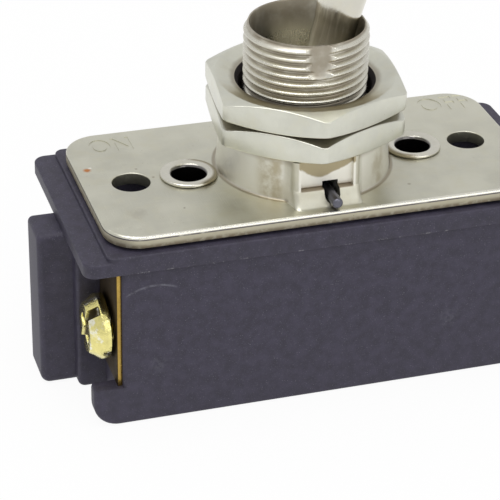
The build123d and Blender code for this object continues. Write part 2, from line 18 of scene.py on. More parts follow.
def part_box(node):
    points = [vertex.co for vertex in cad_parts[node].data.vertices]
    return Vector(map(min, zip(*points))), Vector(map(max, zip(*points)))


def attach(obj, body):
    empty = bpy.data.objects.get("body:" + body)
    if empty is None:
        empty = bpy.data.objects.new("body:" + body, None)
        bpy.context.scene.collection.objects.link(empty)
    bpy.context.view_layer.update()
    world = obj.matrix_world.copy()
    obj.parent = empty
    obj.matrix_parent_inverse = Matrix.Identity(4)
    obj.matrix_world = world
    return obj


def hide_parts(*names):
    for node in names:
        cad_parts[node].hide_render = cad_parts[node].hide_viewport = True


bl_info = {
    "name": "Toggle switch looks",
    "version": (1, 0, 0),
    "blender": (4, 5, 0),
    "location": "3D View > Sidebar > Toggle switch",
    "description": "Builds the detailed pieces, finishes and stage of a two-pole toggle switch",
    "category": "Object",
}

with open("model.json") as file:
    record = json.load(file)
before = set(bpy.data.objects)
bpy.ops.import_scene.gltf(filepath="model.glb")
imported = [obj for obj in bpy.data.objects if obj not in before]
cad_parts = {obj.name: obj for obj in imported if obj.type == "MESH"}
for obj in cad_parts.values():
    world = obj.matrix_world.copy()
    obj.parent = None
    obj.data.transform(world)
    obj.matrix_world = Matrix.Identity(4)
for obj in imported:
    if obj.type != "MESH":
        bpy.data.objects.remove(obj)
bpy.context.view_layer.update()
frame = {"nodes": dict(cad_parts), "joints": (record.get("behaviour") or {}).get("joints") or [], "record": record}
TURN = 2 * math.pi
SIDES = ("front", "back")
ENDS = {"left": -1, "right": 1}

# Outside radius of the thread in drawing units, and a distance from the axis ahead of the nose
THREAD = 5.15
AHEAD = 9.0

# Distances in units within which points are one, on a new piece and on a solid's mesh; the angle
# between a solid's triangles that lie in one face; the edge angle in degrees that still looks smooth
MERGE = 0.0004
CAD_MERGE = 0.0008
CAD_FLAT = math.radians(0.4)
SMOOTH = 38

# Colours of the places that light hardly reaches
BLACK_LINE = (0.05, 0.035, 0.05)
DARK_HOLE = (0.035, 0.028, 0.035)
DARK_BORE = (0.05, 0.045, 0.06)


def spec(name):
    """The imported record's joint or mount of this name."""
    return next(row for row in frame["record"]["mounts"] + frame["joints"] if row["name"] == name)


UNIT = spec("panel_bushing")["dims"]["r_mm"] / THREAD / 1000


def node_box(node):
    """Lowest and highest corner of a solid in units."""
    low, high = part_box(node)
    return np.array(low) / UNIT, np.array(high) / UNIT


def top_of(node):
    """Height of a solid's top in units."""
    return node_box(node)[1][2]


def bottom_of(node):
    """Height of a solid's underside in units."""
    return node_box(node)[0][2]


# Places that the pieces share, in units
PLATE_LOW, PLATE_HIGH = node_box("mounting_plate")
BOSS_TOP = PLATE_HIGH[2]
SIDE_Y = node_box("base")[1][1]
PLATE_TOP = spec("plate_screw_holes")["pos_m"][2] / UNIT
SCREW_HOLE_X = spec("plate_screw_holes")["dims"]["spacing_x_mm"] / 2000 / UNIT
SCREW_HOLE = spec("plate_screw_holes")["dims"]["hole_r_mm"] / 1000 / UNIT
PIVOT = Vector(spec("lever_throw")["pos_m"]) / UNIT
REST_TILT = math.radians(-spec("lever_throw")["range_deg"][0] / 2)
EYELET_X = sum(corner[0] for corner in node_box("eyelet_right")) / 2


def length(name, about, value):
    """A size in metres for the sidebar, from a value in drawing units."""
    size = value * UNIT
    return FloatProperty(name=name, description=about, default=size, min=0, unit="LENGTH", precision=5)


def angle(name, about, degrees):
    """An angle for the sidebar, from degrees."""
    return FloatProperty(name=name, description=about, default=math.radians(degrees), subtype="ANGLE")


def power(name, about, watts):
    """A lamp's power for the sidebar, in watts."""
    return FloatProperty(name=name, description=about, default=watts, min=0, unit="POWER")


def where(name, about, value):
    """A place in metres for the sidebar, from drawing units."""
    place_at = [part * UNIT for part in value]
    return FloatVectorProperty(name=name, description=about, default=place_at, size=3, subtype="TRANSLATION")


def colour(name, about, value):
    """A linear colour for the sidebar."""
    return FloatVectorProperty(
        name=name, description=about, default=value, size=3, min=0, max=1, subtype="COLOR"
    )


def sizes(name):
    """The scene's sizes for one kind of piece: its lengths in drawing units, its angles in radians."""
    group = getattr(bpy.context.scene, f"switch_{name}")
    kinds = group.bl_rna.properties
    values = {key: getattr(group, key) for key in type(group).__annotations__}
    return SimpleNamespace(**{k: v / UNIT if kinds[k].unit == "LENGTH" else v for k, v in values.items()})


class PlateSizes(bpy.types.PropertyGroup):
    corner: length("Corner", "Radius of the plate's corners in plan", 2.8)
    rim: length("Rim round", "Radius rolled on the top edge by the press", 0.22)
    burr: length("Underside round", "Small round on the sheared lower edge", 0.06)
    hole_round: length("Hole round", "Drawn-in edge of the pierced holes", 0.08)
    eyelet_hole: length("Eyelet holes", "Radius of the rivets' holes", 1.70)
    room: length("Bushing room", "Clearance of the boss's hole over the thread", 0.02)
    boss_base: length("Boss base", "Radius of the drawn boss at the plate", 6.86)
    boss_top: length("Boss top", "Radius of the drawn boss at its top", 6.55)
    boss_flare: length("Boss flare", "Radius where the boss runs out into the plate", 0.2)
    boss_round: length("Boss edge", "Round on the boss's top edge", 0.3)
    nose_half: length("Nose half width", "Half the width of the pressed nose", 2.69)
    nose_shift: length("Nose shift", "How far the nose stands left of the middle", 0.35)
    nose_corner: length("Nose corner", "Round on the nose's upright corners", 0.45)
    nose_side: length("Nose side", "Width over which the nose's side wall eases into the boss", 0.5)
    window_half: length("Window half width", "Half the width of the flat recess in the nose", 2.1)
    window_sill: length("Window sill", "Height of the recess's lower edge over the plate", 1.2)
    window_floor: length("Window floor", "Distance of the recess's flat from the axis", 6.6)
    slot_depth: length("Slot depth", "Distance of the slot's inner end from the axis", 4.0)
    slot_half: length("Slot half width", "Half the width of the pin's slot", 0.625)
    slot_low: length("Slot foot", "Lowest point of the pin's slot over the plate", 0.12)
    slot_high: length("Slot head", "Highest point of the pin's slot over the plate", 1.65)
    letter_bold: length("Letter weight", "How much the stamped letters are thickened", 0.05)
    stamp: length("Stamp depth", "Depth of the stamped letters", 0.045)


class BushingSizes(bpy.types.PropertyGroup):
    pitch: length("Pitch", "Pitch of the bushing's thread, 32 to the inch", 0.687)
    crest: length("Crest", "Radius of the thread's rounded crests", 4.85)
    sunk: length("Thread sunk", "How far below the boss's top the thread starts", 0.22)
    chamfer: length("Chamfer", "Chamfer at the thread's end", 0.39)
    bore: length("Bore", "Radius of the bushing's bore", 3.6)
    mouth: length("Mouth", "Radius of the bushing's flared mouth", 4.41)
    lip: length("Mouth round", "Round on the edge of the mouth", 0.12)
    straight: length("Straight bore", "Height of the straight bore over the pivot", 3.0)
    flange: length("Flange", "Radius of the staked flange under the plate", 6.5)
    keyway_width: length("Keyway width", "Width of the groove down the thread", 2.9)
    keyway_depth: length("Keyway depth", "Depth of the groove down the thread", 0.5)
    keyway_length: length("Keyway length", "Length of the groove down the thread", 3.05)
    keyway_turn: angle("Keyway turn", "Turn of the groove from the front", -4.9)
    slot_depth: length("Slot floor", "Distance of the pin slot's floor from the axis", 4.6)


class NutSizes(bpy.types.PropertyGroup):
    flats: length("Across flats", "Width of the hexagon nuts", 14.29)
    top_slope: angle("Top chamfer", "Slope of the corners on top", 22)
    under_slope: angle("Lower chamfer", "Slope of the corners below", 17)
    edge: length("Edge round", "Round on the stamped edges", 0.11)
    corner: length("Corner blunt", "How far each corner is blunted", 0.12)
    sink: length("Countersink", "Width of the dished ring round the threaded hole", 1.75)
    sink_depth: length("Countersink depth", "Depth of the dished ring at the thread", 0.4)
    lead: length("Lead-in", "Width of the steep lead-in at the hole's mouth", 0.28)
    room: length("Thread room", "Clearance over the thread", 0.05)
    foot: length("Foot chamfer", "Chamfer of the hole on the underside", 0.25)
    upper_turn: angle("Upper nut's turn", "Turn of the upper nut's corners", -6.3)
    lower_turn: angle("Lower nut's turn", "Turn of the lower nut's corners", -7.2)


class EyeletSizes(bpy.types.PropertyGroup):
    bore: length("Bore", "Radius of the bore", 1.34)
    tube: length("Tube", "Outside radius of the tube", 1.68)
    roll: length("Roll", "Radius rolled over at the bore", 0.3)
    edge: length("Edge round", "Round on the head's outer edge", 0.16)
    lower: length("Head lower", "How far the head is pressed down from the solid's", 0.12)
    inset: length("Head inset", "How far the head's edge lies inside the solid's", 0.1)
    sink: length("Foot seat", "Height of the seat that the foot is spread against", 0.9)
    foot: length("Foot edge", "Thickness of the spread foot's rim", 0.25)
    wave: length("Wave", "Unevenness of the rolled head", 0.009)


class LeverSizes(bpy.types.PropertyGroup):
    ball: length("Pivot ball", "Radius of the ball on the pivot", 3.2)
    tail: length("Tail", "Radius of the tail under the pivot", 1.5)
    neck: length("Neck", "Smallest radius, at the bushing's mouth", 1.69)
    root: length("Root", "Radius where the neck leaves the ball", 2.5)
    tip: length("Tip", "Radius of the rounded tip", 3.15)


class ScrewSizes(bpy.types.PropertyGroup):
    pitch: length("Pitch", "Pitch of the terminal screws' thread", 0.687)
    thread: length("Thread", "Outside radius of the screws' thread", 1.51)
    edge: length("Edge round", "Round on the head and its recess", 0.09)
    head: length("Head", "Height of the head over the shank", 1.55)
    lap: length("Lap", "How far the shank runs up into the head", 0.3)


class Finishes(bpy.types.PropertyGroup):
    moulding: colour("Moulding", "Dark grey-violet moulded plastic", (0.032, 0.028, 0.047))
    speckle: colour("Speckle", "Pale filler that shows in the moulding", (0.16, 0.16, 0.19))
    flash: colour("Flash", "Rubbed flash along the parting line", (0.42, 0.41, 0.42))
    plate: colour("Plate nickel", "Satin nickel on the plate", (0.605, 0.595, 0.505))
    nut: colour("Nut nickel", "Satin nickel on the nuts", (0.66, 0.66, 0.58))
    bright: colour("Bright nickel", "Bright nickel on bushing, lever and eyelets", (0.68, 0.66, 0.58))
    # Nickel stain also stands for painted shade: under the nut on the boss, along the recess's sill, round the
    # boss's foot, in the nuts' countersinks and where the nuts meet
    stain: colour("Nickel stain", "Brown stain in corners of the nickel", (0.20, 0.15, 0.09))
    # Tarnish also stands for painted shade: in front of the boss on the plate, under the nut on the recess's flat,
    # and the painted reflections on the nuts' fronts and the eyelets' sides
    tarnish: colour("Tarnish", "Olive-brown film on old nickel", (0.40, 0.33, 0.18))
    # Painted highlight: the nose's recess made nearly white as if it mirrored the bright surround, the rim's front
    # edge and a glint on the rust spot
    burnished: colour("Burnished flat", "Rubbed bright metal in the nose's recess", (0.90, 0.88, 0.80))
    drawn: colour("Drawn boss", "Paler nickel on the boss's wall", (0.92, 0.91, 0.84))
    rust: colour("Rust", "Rust spot on the plate", (0.55, 0.19, 0.035))
    brass: colour("Strip brass", "Bare brass of the terminals", (0.48, 0.32, 0.08))
    screw: colour("Screw brass", "Bright brass of the screws", (0.84, 0.76, 0.30))
    polished: colour("Polished brass", "Patches worn bright on the screws", (0.90, 0.90, 0.80))
    pin: colour("Pin steel", "Blue-black steel of the pin", (0.15, 0.15, 0.18))
    copper: colour("Copper", "Bare copper of the contact arms", (0.72, 0.36, 0.20))
    silver: colour("Silver", "Silver of the contact faces", (0.80, 0.80, 0.77))
    nylon: colour("Cross bar", "Pale moulded insulation", (0.68, 0.62, 0.47))
    fibre: colour("Fibre", "Red-brown plunger fibre", (0.30, 0.07, 0.035))
    spring: colour("Spring wire", "Drawn steel wire", (0.46, 0.46, 0.46))


class StageSizes(bpy.types.PropertyGroup):
    camera_place: where("Camera", "Where the camera stands", (-49.006, -139.628, 93.245))
    camera_yaw: angle("Yaw", "Camera's turn about the vertical", 17.81)
    camera_down: angle("Down", "Camera's slope below the horizon", 30.0)
    camera_roll: angle("Roll", "Camera's roll", 1.26)
    lens: FloatProperty(name="Lens", description="Focal length", default=151.93, unit="CAMERA")
    world: FloatProperty(name="Surround", description="Strength of the soft light all round", default=0.76)
    key: power("Key lamp", "Power of the soft box overhead", 1.0)
    fill: power("Fill lamp", "Power of the soft box by the camera", 0.37)
    key_place: where("Key lamp's place", "Where the overhead soft box hangs", (-100, -50, 420))
    fill_place: where("Fill lamp's place", "Where the soft box by the camera hangs", (160, -340, 220))
    lamp_aim: where("Lamps' aim", "What both soft boxes face", (0, 0, 10))
    lamp_size: length("Lamp size", "Side of each soft box", 300)
    floor_half: length("Floor", "Half the floor's side", 3000)
    floor: colour("Floor colour", "Plain pale floor", (0.86, 0.86, 0.86))
    floor_white: FloatProperty(
        name="Floor white", description="Share of plain white that the camera sees", default=0.93, max=1
    )


# ------------------------------------------------------------------ meshes
def grid_quads(rows, columns, wrap=True, start=0):
    """Quads of a rows by columns grid of vertices; wrap joins the last column to the first."""
    r, c = np.meshgrid(np.arange(rows - 1), np.arange(columns if wrap else columns - 1), indexing="ij")
    low, high = r * columns, (r + 1) * columns
    after = (c + 1) % columns
    return np.stack([low + c, low + after, high + after, high + c], -1).reshape(-1, 4) + start


def rings(profile, angles):
    """Points at radius r and height z of the profile, turned to each angle: (r cos a, r sin a, z)."""
    profile, angles = np.asarray(profile, float), np.asarray(angles, float)
    r, z = profile[:, None, 0], profile[:, None, 1]
    flat = np.stack([r * np.cos(angles), r * np.sin(angles), z + 0 * angles], -1)
    return flat.reshape(-1, 3)


def even_angles(count):
    """Angles spread evenly round a full turn."""
    return np.arange(count) * TURN / count


def arc(centre, radius, start, end, steps):
    """Points of a circular arc in the (r, z) plane, from one angle in degrees to another."""
    a = np.radians(np.linspace(start, end, steps + 1))
    return np.stack([centre[0] + radius * np.cos(a), centre[1] + radius * np.sin(a)], -1)


def path(*parts):
    """One list of (r, z) points from points and arcs."""
    return np.concatenate([np.atleast_2d(np.asarray(p, float)) for p in parts])


def mesh_piece(name, parts, smooth=SMOOTH):
    """Object from (vertices in units, faces) parts: doubles merged, slivers dropped, faces outwards."""
    starts = np.cumsum([0] + [len(vertices) for vertices, _ in parts])
    points = np.concatenate([vertices for vertices, _ in parts]) * UNIT
    faces = [face for (_, part), start in zip(parts, starts) for face in (part + start).tolist()]
    mesh = bpy.data.meshes.new(name)
    mesh.from_pydata(points.tolist(), [], faces)
    built = bmesh.new()
    built.from_mesh(mesh)
    bpy.data.meshes.remove(mesh)
    bmesh.ops.remove_doubles(built, verts=built.verts, dist=MERGE * UNIT)
    bmesh.ops.dissolve_degenerate(built, edges=built.edges, dist=MERGE * UNIT)
    bmesh.ops.recalc_face_normals(built, faces=built.faces)
    return finished(name, built, smooth)


def smoothed(mesh, smooth):
    """Shades a mesh smooth up to an edge angle in degrees."""
    mesh.shade_smooth()
    mesh.set_sharp_from_angle(angle=math.radians(smooth))
    return mesh


def finished(name, built, smooth=SMOOTH):
    """Object from a bmesh, smooth shaded up to an edge angle in degrees."""
    mesh = bpy.data.meshes.new(name)
    built.to_mesh(mesh)
    built.free()
    piece = bpy.data.objects.new(name, smoothed(mesh, smooth))
    bpy.context.scene.collection.objects.link(piece)
    return piece


def bake_modifiers(piece, smooth):
    """Replaces a piece's mesh by the one its modifiers give."""
    graph = bpy.context.evaluated_depsgraph_get()
    mesh = bpy.data.meshes.new_from_object(piece.evaluated_get(graph))
    piece.modifiers.clear()
    piece.data = smoothed(mesh, smooth)
    return piece


def carve(piece, cutters, smooth=SMOOTH):
    """Cuts closed pieces out of a piece and deletes them."""
    for cutter in cutters:
        cut = piece.modifiers.new("cut", "BOOLEAN")
        cut.object, cut.operation, cut.solver = cutter, "DIFFERENCE", "EXACT"
    bake_modifiers(piece, smooth)
    for cutter in cutters:
        bpy.data.objects.remove(cutter)
    return piece


def round_edges(piece, width, segments=2, sharp=40):
    """Rounds the edges of a piece that are sharper than an angle in degrees, to a width in units."""
    bevel = piece.modifiers.new("round", "BEVEL")
    bevel.width, bevel.segments = width * UNIT, segments
    bevel.limit_method, bevel.angle_limit = "ANGLE", math.radians(sharp)
    bevel.use_clamp_overlap = True
    return bake_modifiers(piece, SMOOTH)


def whole_faces(node):
    """A solid's mesh as a bmesh, its loose triangles merged into whole faces."""
    built = bmesh.new()
    built.from_mesh(frame["nodes"][node].data)
    bmesh.ops.remove_doubles(built, verts=built.verts, dist=CAD_MERGE * UNIT)
    bmesh.ops.dissolve_limit(built, angle_limit=CAD_FLAT, verts=built.verts, edges=built.edges)
    return built


def rounded_copy(node, name, width, segments=2):
    """Copy of a solid with its sharp edges rounded."""
    return round_edges(finished(name, whole_faces(node)), width, segments)


def prism(name, outline, front, back):
    """Closed prism: an outline of (x, z) points carried from front to back along Y."""
    x, z = np.asarray(outline, float).T
    ends = [np.stack([x, np.full(len(x), y), z], -1) for y in (front, back)]
    piece = mesh_piece(name, [(np.concatenate(ends), grid_quads(2, len(x)))])
    built = bmesh.new()
    built.from_mesh(piece.data)
    bmesh.ops.holes_fill(built, edges=built.edges, sides=0)
    bmesh.ops.recalc_face_normals(built, faces=built.faces)
    built.to_mesh(piece.data)
    built.free()
    return piece


def rounded_rectangle(length_x, width_y, corner, steps=16, along=90):
    """Outline of a rounded rectangle and its outward normals: straight runs and quarter circles."""
    hx, hy = length_x / 2 - corner, width_y / 2 - corner
    points, normals = [], []
    for i, (cx, cy) in enumerate([(hx, hy), (-hx, hy), (-hx, -hy), (hx, -hy)]):
        a = np.radians(np.linspace(90 * i, 90 * i + 90, steps + 1))
        n = np.stack([np.cos(a), np.sin(a)], -1)
        points.append(np.array([cx, cy]) + corner * n)
        normals.append(n)
        nx, ny = [(-hx, hy), (-hx, -hy), (hx, -hy), (hx, hy)][i]
        run = along if i % 2 == 0 else along // 2
        t = np.linspace(0, 1, run + 1)[1:-1, None]
        last, n_last = points[-1][-1], n[-1]
        points.append(last + t * (np.array([nx, ny]) + corner * n_last - last))
        normals.append(np.repeat(n_last[None], len(t), 0))
    return np.concatenate(points), np.concatenate(normals)


def flat_with_holes(loops, z):
    """Triangles that fill the first loop at height z, less the others: a Delaunay fill with the
    triangles whose middle lies in a hole left out."""
    points = np.concatenate(loops)
    edges, start = [], 0
    for loop in loops:
        n = len(loop)
        edges += [(start + i, start + (i + 1) % n) for i in range(n)]
        start += n
    made = delaunay_2d_cdt([Vector(p) for p in points.tolist()], edges, [], 0, 1e-6)
    xy = np.array([tuple(v) for v in made[0]])
    tris = np.array(made[2])
    mid = xy[tris].mean(1)
    keep = inside(mid, loops[0])
    for loop in loops[1:]:
        keep &= ~inside(mid, loop)
    return np.column_stack([xy, np.full(len(xy), z)]), tris[keep]


def inside(points, loop):
    """Which points lie in a closed loop, by the number of its edges that a ray crosses."""
    a, b = loop, np.roll(loop, -1, 0)
    x, y = points[:, None, 0], points[:, None, 1]
    crosses = (a[:, 1] > y) != (b[:, 1] > y)
    rise = np.where(b[:, 1] == a[:, 1], 1e-9, b[:, 1] - a[:, 1])
    at = a[:, 0] + (y - a[:, 1]) / rise * (b[:, 0] - a[:, 0])
    return (crosses & (x < at)).sum(1) % 2 == 1


def coat(mesh, finish):
    """Gives a mesh its one finish."""
    mesh.materials.clear()
    mesh.materials.append(finish)


def place(piece, node, finish):
    """Lets a finished piece stand for its solid, on the solid's body."""
    coat(piece.data, finish)
    groups = frame["record"]["behaviour"]["bodies"]
    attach(piece, next(body for body, nodes in groups.items() if node in nodes))
    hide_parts(node)


def helix_thread(crest, root, pitch, low, high, angles, end_chamfer):
    """Ribbon wound round the axis: at angle a and share v of a turn's height, z = low + pitch
    (a / turn + v - 1) and r follows the thread's crest, flank and root; what would lie past an
    end is folded onto that end. Up one ridge, v is the share of the pitch and shape of the depth."""
    v = np.array([0.0, 0.06, 0.12, 0.19, 0.26, 0.36, 0.47, 0.54, 0.61, 0.68, 0.80, 0.92])
    shape = np.array([0.90, 0.97, 1.0, 0.98, 0.88, 0.5, 0.07, 0.0, 0.0, 0.07, 0.38, 0.72])
    turns = int(math.ceil((high - low) / pitch)) + 2
    a = np.append((TURN * np.arange(turns)[:, None] + angles).ravel(), TURN * turns + angles[0])
    z = low + pitch * (a[:, None] / TURN + v - 1.0)
    r = root + (crest - root) * shape + 0 * z
    r = np.minimum(r, crest - np.clip(z - (high - end_chamfer), 0, None))
    r = np.where(z <= low, root, r)
    r = np.where(z >= high, crest - end_chamfer, r)
    z = np.clip(z, low, high)
    points = np.stack([r * np.cos(a)[:, None], r * np.sin(a)[:, None], z], -1)
    count, share_count = points.shape[:2]
    index = np.arange(count * share_count).reshape(count, share_count)
    above = index[len(angles):, :1]
    table = np.concatenate([index[: len(above)], above], 1)
    quads = np.stack([table[:-1, :-1], table[1:, :-1], table[1:, 1:], table[:-1, 1:]], -1)
    return points.reshape(-1, 3), quads.reshape(-1, 4)


# ------------------------------------------------------------------ finishes
class Wire:
    """A socket in a graph of nodes; sums and products on it add Math nodes."""

    def __init__(self, graph, socket):
        self.graph, self.socket = graph, socket

    def math(self, operation, first, second=0.0):
        """One Math node of an operation on numbers or wires."""
        return self.graph.add("ShaderNodeMath", {0: first, 1: second}, operation=operation)

    def __add__(self, other):
        return self.math("ADD", self, other)

    def __sub__(self, other):
        return self.math("SUBTRACT", self, other)

    def __rsub__(self, other):
        return self.math("SUBTRACT", other, self)

    def __mul__(self, other):
        return self.math("MULTIPLY", self, other)

    def __truediv__(self, other):
        return self.math("DIVIDE", self, other)

    def __pow__(self, other):
        return self.math("POWER", self, other)

    def __abs__(self):
        return self.math("ABSOLUTE", self)

    def most(self, other):
        """The larger of two."""
        return self.math("MAXIMUM", self, other)

    __radd__, __rmul__ = __add__, __mul__


def far(u, v):
    """Distance of (u, v) from the origin: the root of u^2 + v^2."""
    return (u * u + v * v) ** 0.5


class Graph:
    """The nodes of a material or a world under construction."""

    def __init__(self, holder):
        holder.use_nodes = True
        self.tree = holder.node_tree

    def add(self, kind, sockets, out=0, **settings):
        """Adds a node, its settings first, and gives one of its outputs."""
        node = self.tree.nodes.new(kind)
        for key, value in settings.items():
            setattr(node, key, value)
        for key, value in sockets.items():
            self.feed(node.inputs[key], value)
        return Wire(self, node.outputs[out])

    def feed(self, socket, value):
        """Links a wire to a socket, or sets the socket to a plain value."""
        if isinstance(value, Wire):
            self.tree.links.new(value.socket, socket)
        else:
            socket.default_value = value

    def show(self, output, value):
        """Feeds the surface of the tree's output."""
        self.feed(self.tree.nodes[output].inputs["Surface"], value)


class Finish(Graph):
    """A material under construction, with one shader and patterns on object coordinates in units."""

    def __init__(self, name, base, metallic=0.0, **constants):
        self.material = bpy.data.materials.new(name)
        super().__init__(self.material)
        self.shader = self.tree.nodes["Principled BSDF"]
        self.shader.inputs["Metallic"].default_value = metallic
        self.shader.inputs["Base Color"].default_value = (*base, 1)
        for socket, value in constants.items():
            self.shader.inputs[socket.replace("_", " ")].default_value = value
        metres = self.add("ShaderNodeTexCoord", {}, out="Object")
        self.place = self.add("ShaderNodeVectorMath", {0: metres, "Scale": 1 / UNIT}, operation="SCALE")

    def stretched(self, x, y, z):
        """The place in units, with each axis scaled by itself."""
        return self.add("ShaderNodeVectorMath", {0: self.place, 1: (x, y, z)}, operation="MULTIPLY")

    def axes(self):
        """The three parts of the place in units."""
        split = self.add("ShaderNodeSeparateXYZ", {0: self.place}).socket.node
        return [Wire(self, out) for out in split.outputs]

    def noise(self, per_unit, detail=2.0, rough=0.5, where=None, twist=0.0):
        """Soft noise from nought to one, with so many lumps to the unit."""
        grain = {"Scale": per_unit, "Detail": detail, "Roughness": rough, "Distortion": twist}
        return self.add("ShaderNodeTexNoise", {"Vector": where or self.place, **grain})

    def cells(self, per_unit):
        """Distance to the nearest of scattered points, so many to the unit."""
        return self.add("ShaderNodeTexVoronoi", {"Vector": self.place, "Scale": per_unit}, feature="F1")

    def ramp(self, value, low, high, start=0.0, end=1.0):
        """Smooth climb from start to end as value goes from low to high."""
        sockets = {"Value": value, "From Min": low, "From Max": high, "To Min": start, "To Max": end}
        return self.add("ShaderNodeMapRange", sockets, interpolation_type="SMOOTHSTEP")

    def blend(self, share_of, a, b):
        """Colour a, turning to colour b as the share goes to one."""
        ends = [end if isinstance(end, Wire) else (*end, 1) for end in (a, b)]
        return self.add("ShaderNodeMix", {0: share_of, 6: ends[0], 7: ends[1]}, out=2, data_type="RGBA")

    def near(self, point, radius, wobble=0.5):
        """One near a point in units, falling to nought at the radius with a ragged edge."""
        ends = {0: self.place, 1: point}
        reach = self.add("ShaderNodeVectorMath", ends, out="Value", operation="DISTANCE")
        ragged = reach + (self.noise(2.2 / radius, 3) - 0.5) * (radius * wobble)
        return self.ramp(ragged, radius, radius * 0.25)

    def done(self, base, roughness, height, depth):
        """Links what changes over the surface; height is a bump pattern and depth its size in units."""
        bump = self.add("ShaderNodeBump", {"Height": height, "Distance": depth * UNIT, "Strength": 1.0})
        for socket, value in (("Base Color", base), ("Roughness", roughness), ("Normal", bump)):
            self.feed(self.shader.inputs[socket], value)
        return self.material


def shade(base, by):
    """A colour made darker or lighter by a factor."""
    return tuple(min(1.0, part * by) for part in base)


def moulding_finish(looks):
    """Moulded phenolic: mottled, with pale filler specks, scuffs, one long bowed scratch near the
    left end of the front, and flash along the parting line."""
    f = Finish("moulded_phenolic", looks.moulding, Specular_IOR_Level=0.42)
    x, y, z = f.axes()
    parting = top_of("base")
    mottle = f.noise(1.1, 4, 0.62)
    fine = f.noise(9, 2, 0.6)
    base = f.blend(f.ramp(mottle, 0.3, 0.72), shade(looks.moulding, 0.82), shade(looks.moulding, 1.28))
    grain = f.ramp(fine, 0.55, 0.78, 0, 0.3)
    base = f.blend(grain, base, looks.speckle)
    specks = f.ramp(f.cells(5.2), 0.17, 0.07) * f.ramp(f.noise(1.7, 3), 0.38, 0.62)
    base = f.blend(specks * 0.75, base, shade(looks.speckle, 1.25))
    scuffs = f.near((-14.2, -9.0, 5.0), 1.0).most(f.near((9.6, -9.0, 5.4), 1.1))
    scuffs = scuffs * f.ramp(f.noise(3.2, 3), 0.4, 0.6)
    base = f.blend(scuffs * 0.2, base, looks.speckle)
    bowed = abs(z - 12.1 + (x + 14.4) * (x + 14.4) * 0.13)
    scratch = f.ramp(bowed, 0.13, 0.04) * f.ramp(abs(x + 14.7), 2.1, 1.6) * f.ramp(y, -8.3, -8.5)
    base = f.blend(scratch * f.ramp(f.noise(1.8, 3), 0.35, 0.6) * 0.5, base, looks.speckle)
    band = f.ramp(abs(z - parting), 0.16, 0.03) * f.ramp(y, -SIDE_Y + 0.5, -SIDE_Y + 0.2)
    flecks = band * f.ramp(f.noise(0.75, 4, 0.75, f.stretched(1, 1, 0.3)), 0.55, 0.66)
    base = f.blend(flecks * 0.5, base, looks.flash)
    rough = 0.50 + mottle * 0.12 + specks * 0.15 + scuffs * 0.15
    relief = mottle * 0.5 + fine * 0.35 + specks * 0.3
    return f.done(base, rough, relief, depth=0.02)


def nickel_layers(f, base, looks, rough, scratches, stain):
    """Nickel plate's tint, roughness and relief: clouds, pits, hairlines two ways, brown stains."""
    cloud = f.noise(0.35, 3, 0.55)
    fine = f.noise(7, 3, 0.6)
    tint = f.blend(f.ramp(cloud, 0.3, 0.7), shade(base, 0.93), shade(base, 1.06))
    warmer = (base[0], base[1] * 0.97, base[2] * 0.86)
    tint = f.blend(f.ramp(f.noise(0.8, 3), 0.45, 0.75) * 0.3, tint, warmer)
    pits = f.ramp(f.cells(2.6), 0.11, 0.04) * f.ramp(f.noise(0.6, 2), 0.56, 0.68)
    tint = f.blend(pits * 0.75, tint, looks.stain)
    brown = f.ramp(f.noise(0.5, 4, 0.6), 0.6, 0.8) * stain
    tint = f.blend(brown, tint, looks.stain)
    one = f.ramp(f.noise(1.3, 1, 0.5, f.stretched(9, 0.25, 1.5), 0.3), 0.66, 0.70)
    two = f.ramp(f.noise(1.1, 1, 0.5, f.stretched(0.3, 10, 1.5), 0.4), 0.67, 0.71)
    lines = one.most(two) * scratches
    tint = f.blend(lines * 0.18, tint, shade(base, 1.3))
    roughness = rough + (cloud - 0.5) * 0.12 + (fine - 0.5) * 0.10
    roughness = roughness + pits * 0.3 + brown * 0.4 + lines * 0.08
    relief = fine * 0.6 - pits - lines * 0.5 + cloud * 0.8
    return tint, roughness, relief


def lever_finish(looks):
    """Bright, clean nickel on the lever."""
    f = Finish("lever_nickel", looks.bright, metallic=1.0)
    tint, roughness, relief = nickel_layers(f, looks.bright, looks, 0.12, 0.35, 0.0)
    return f.done(tint, roughness, relief, depth=0.004)


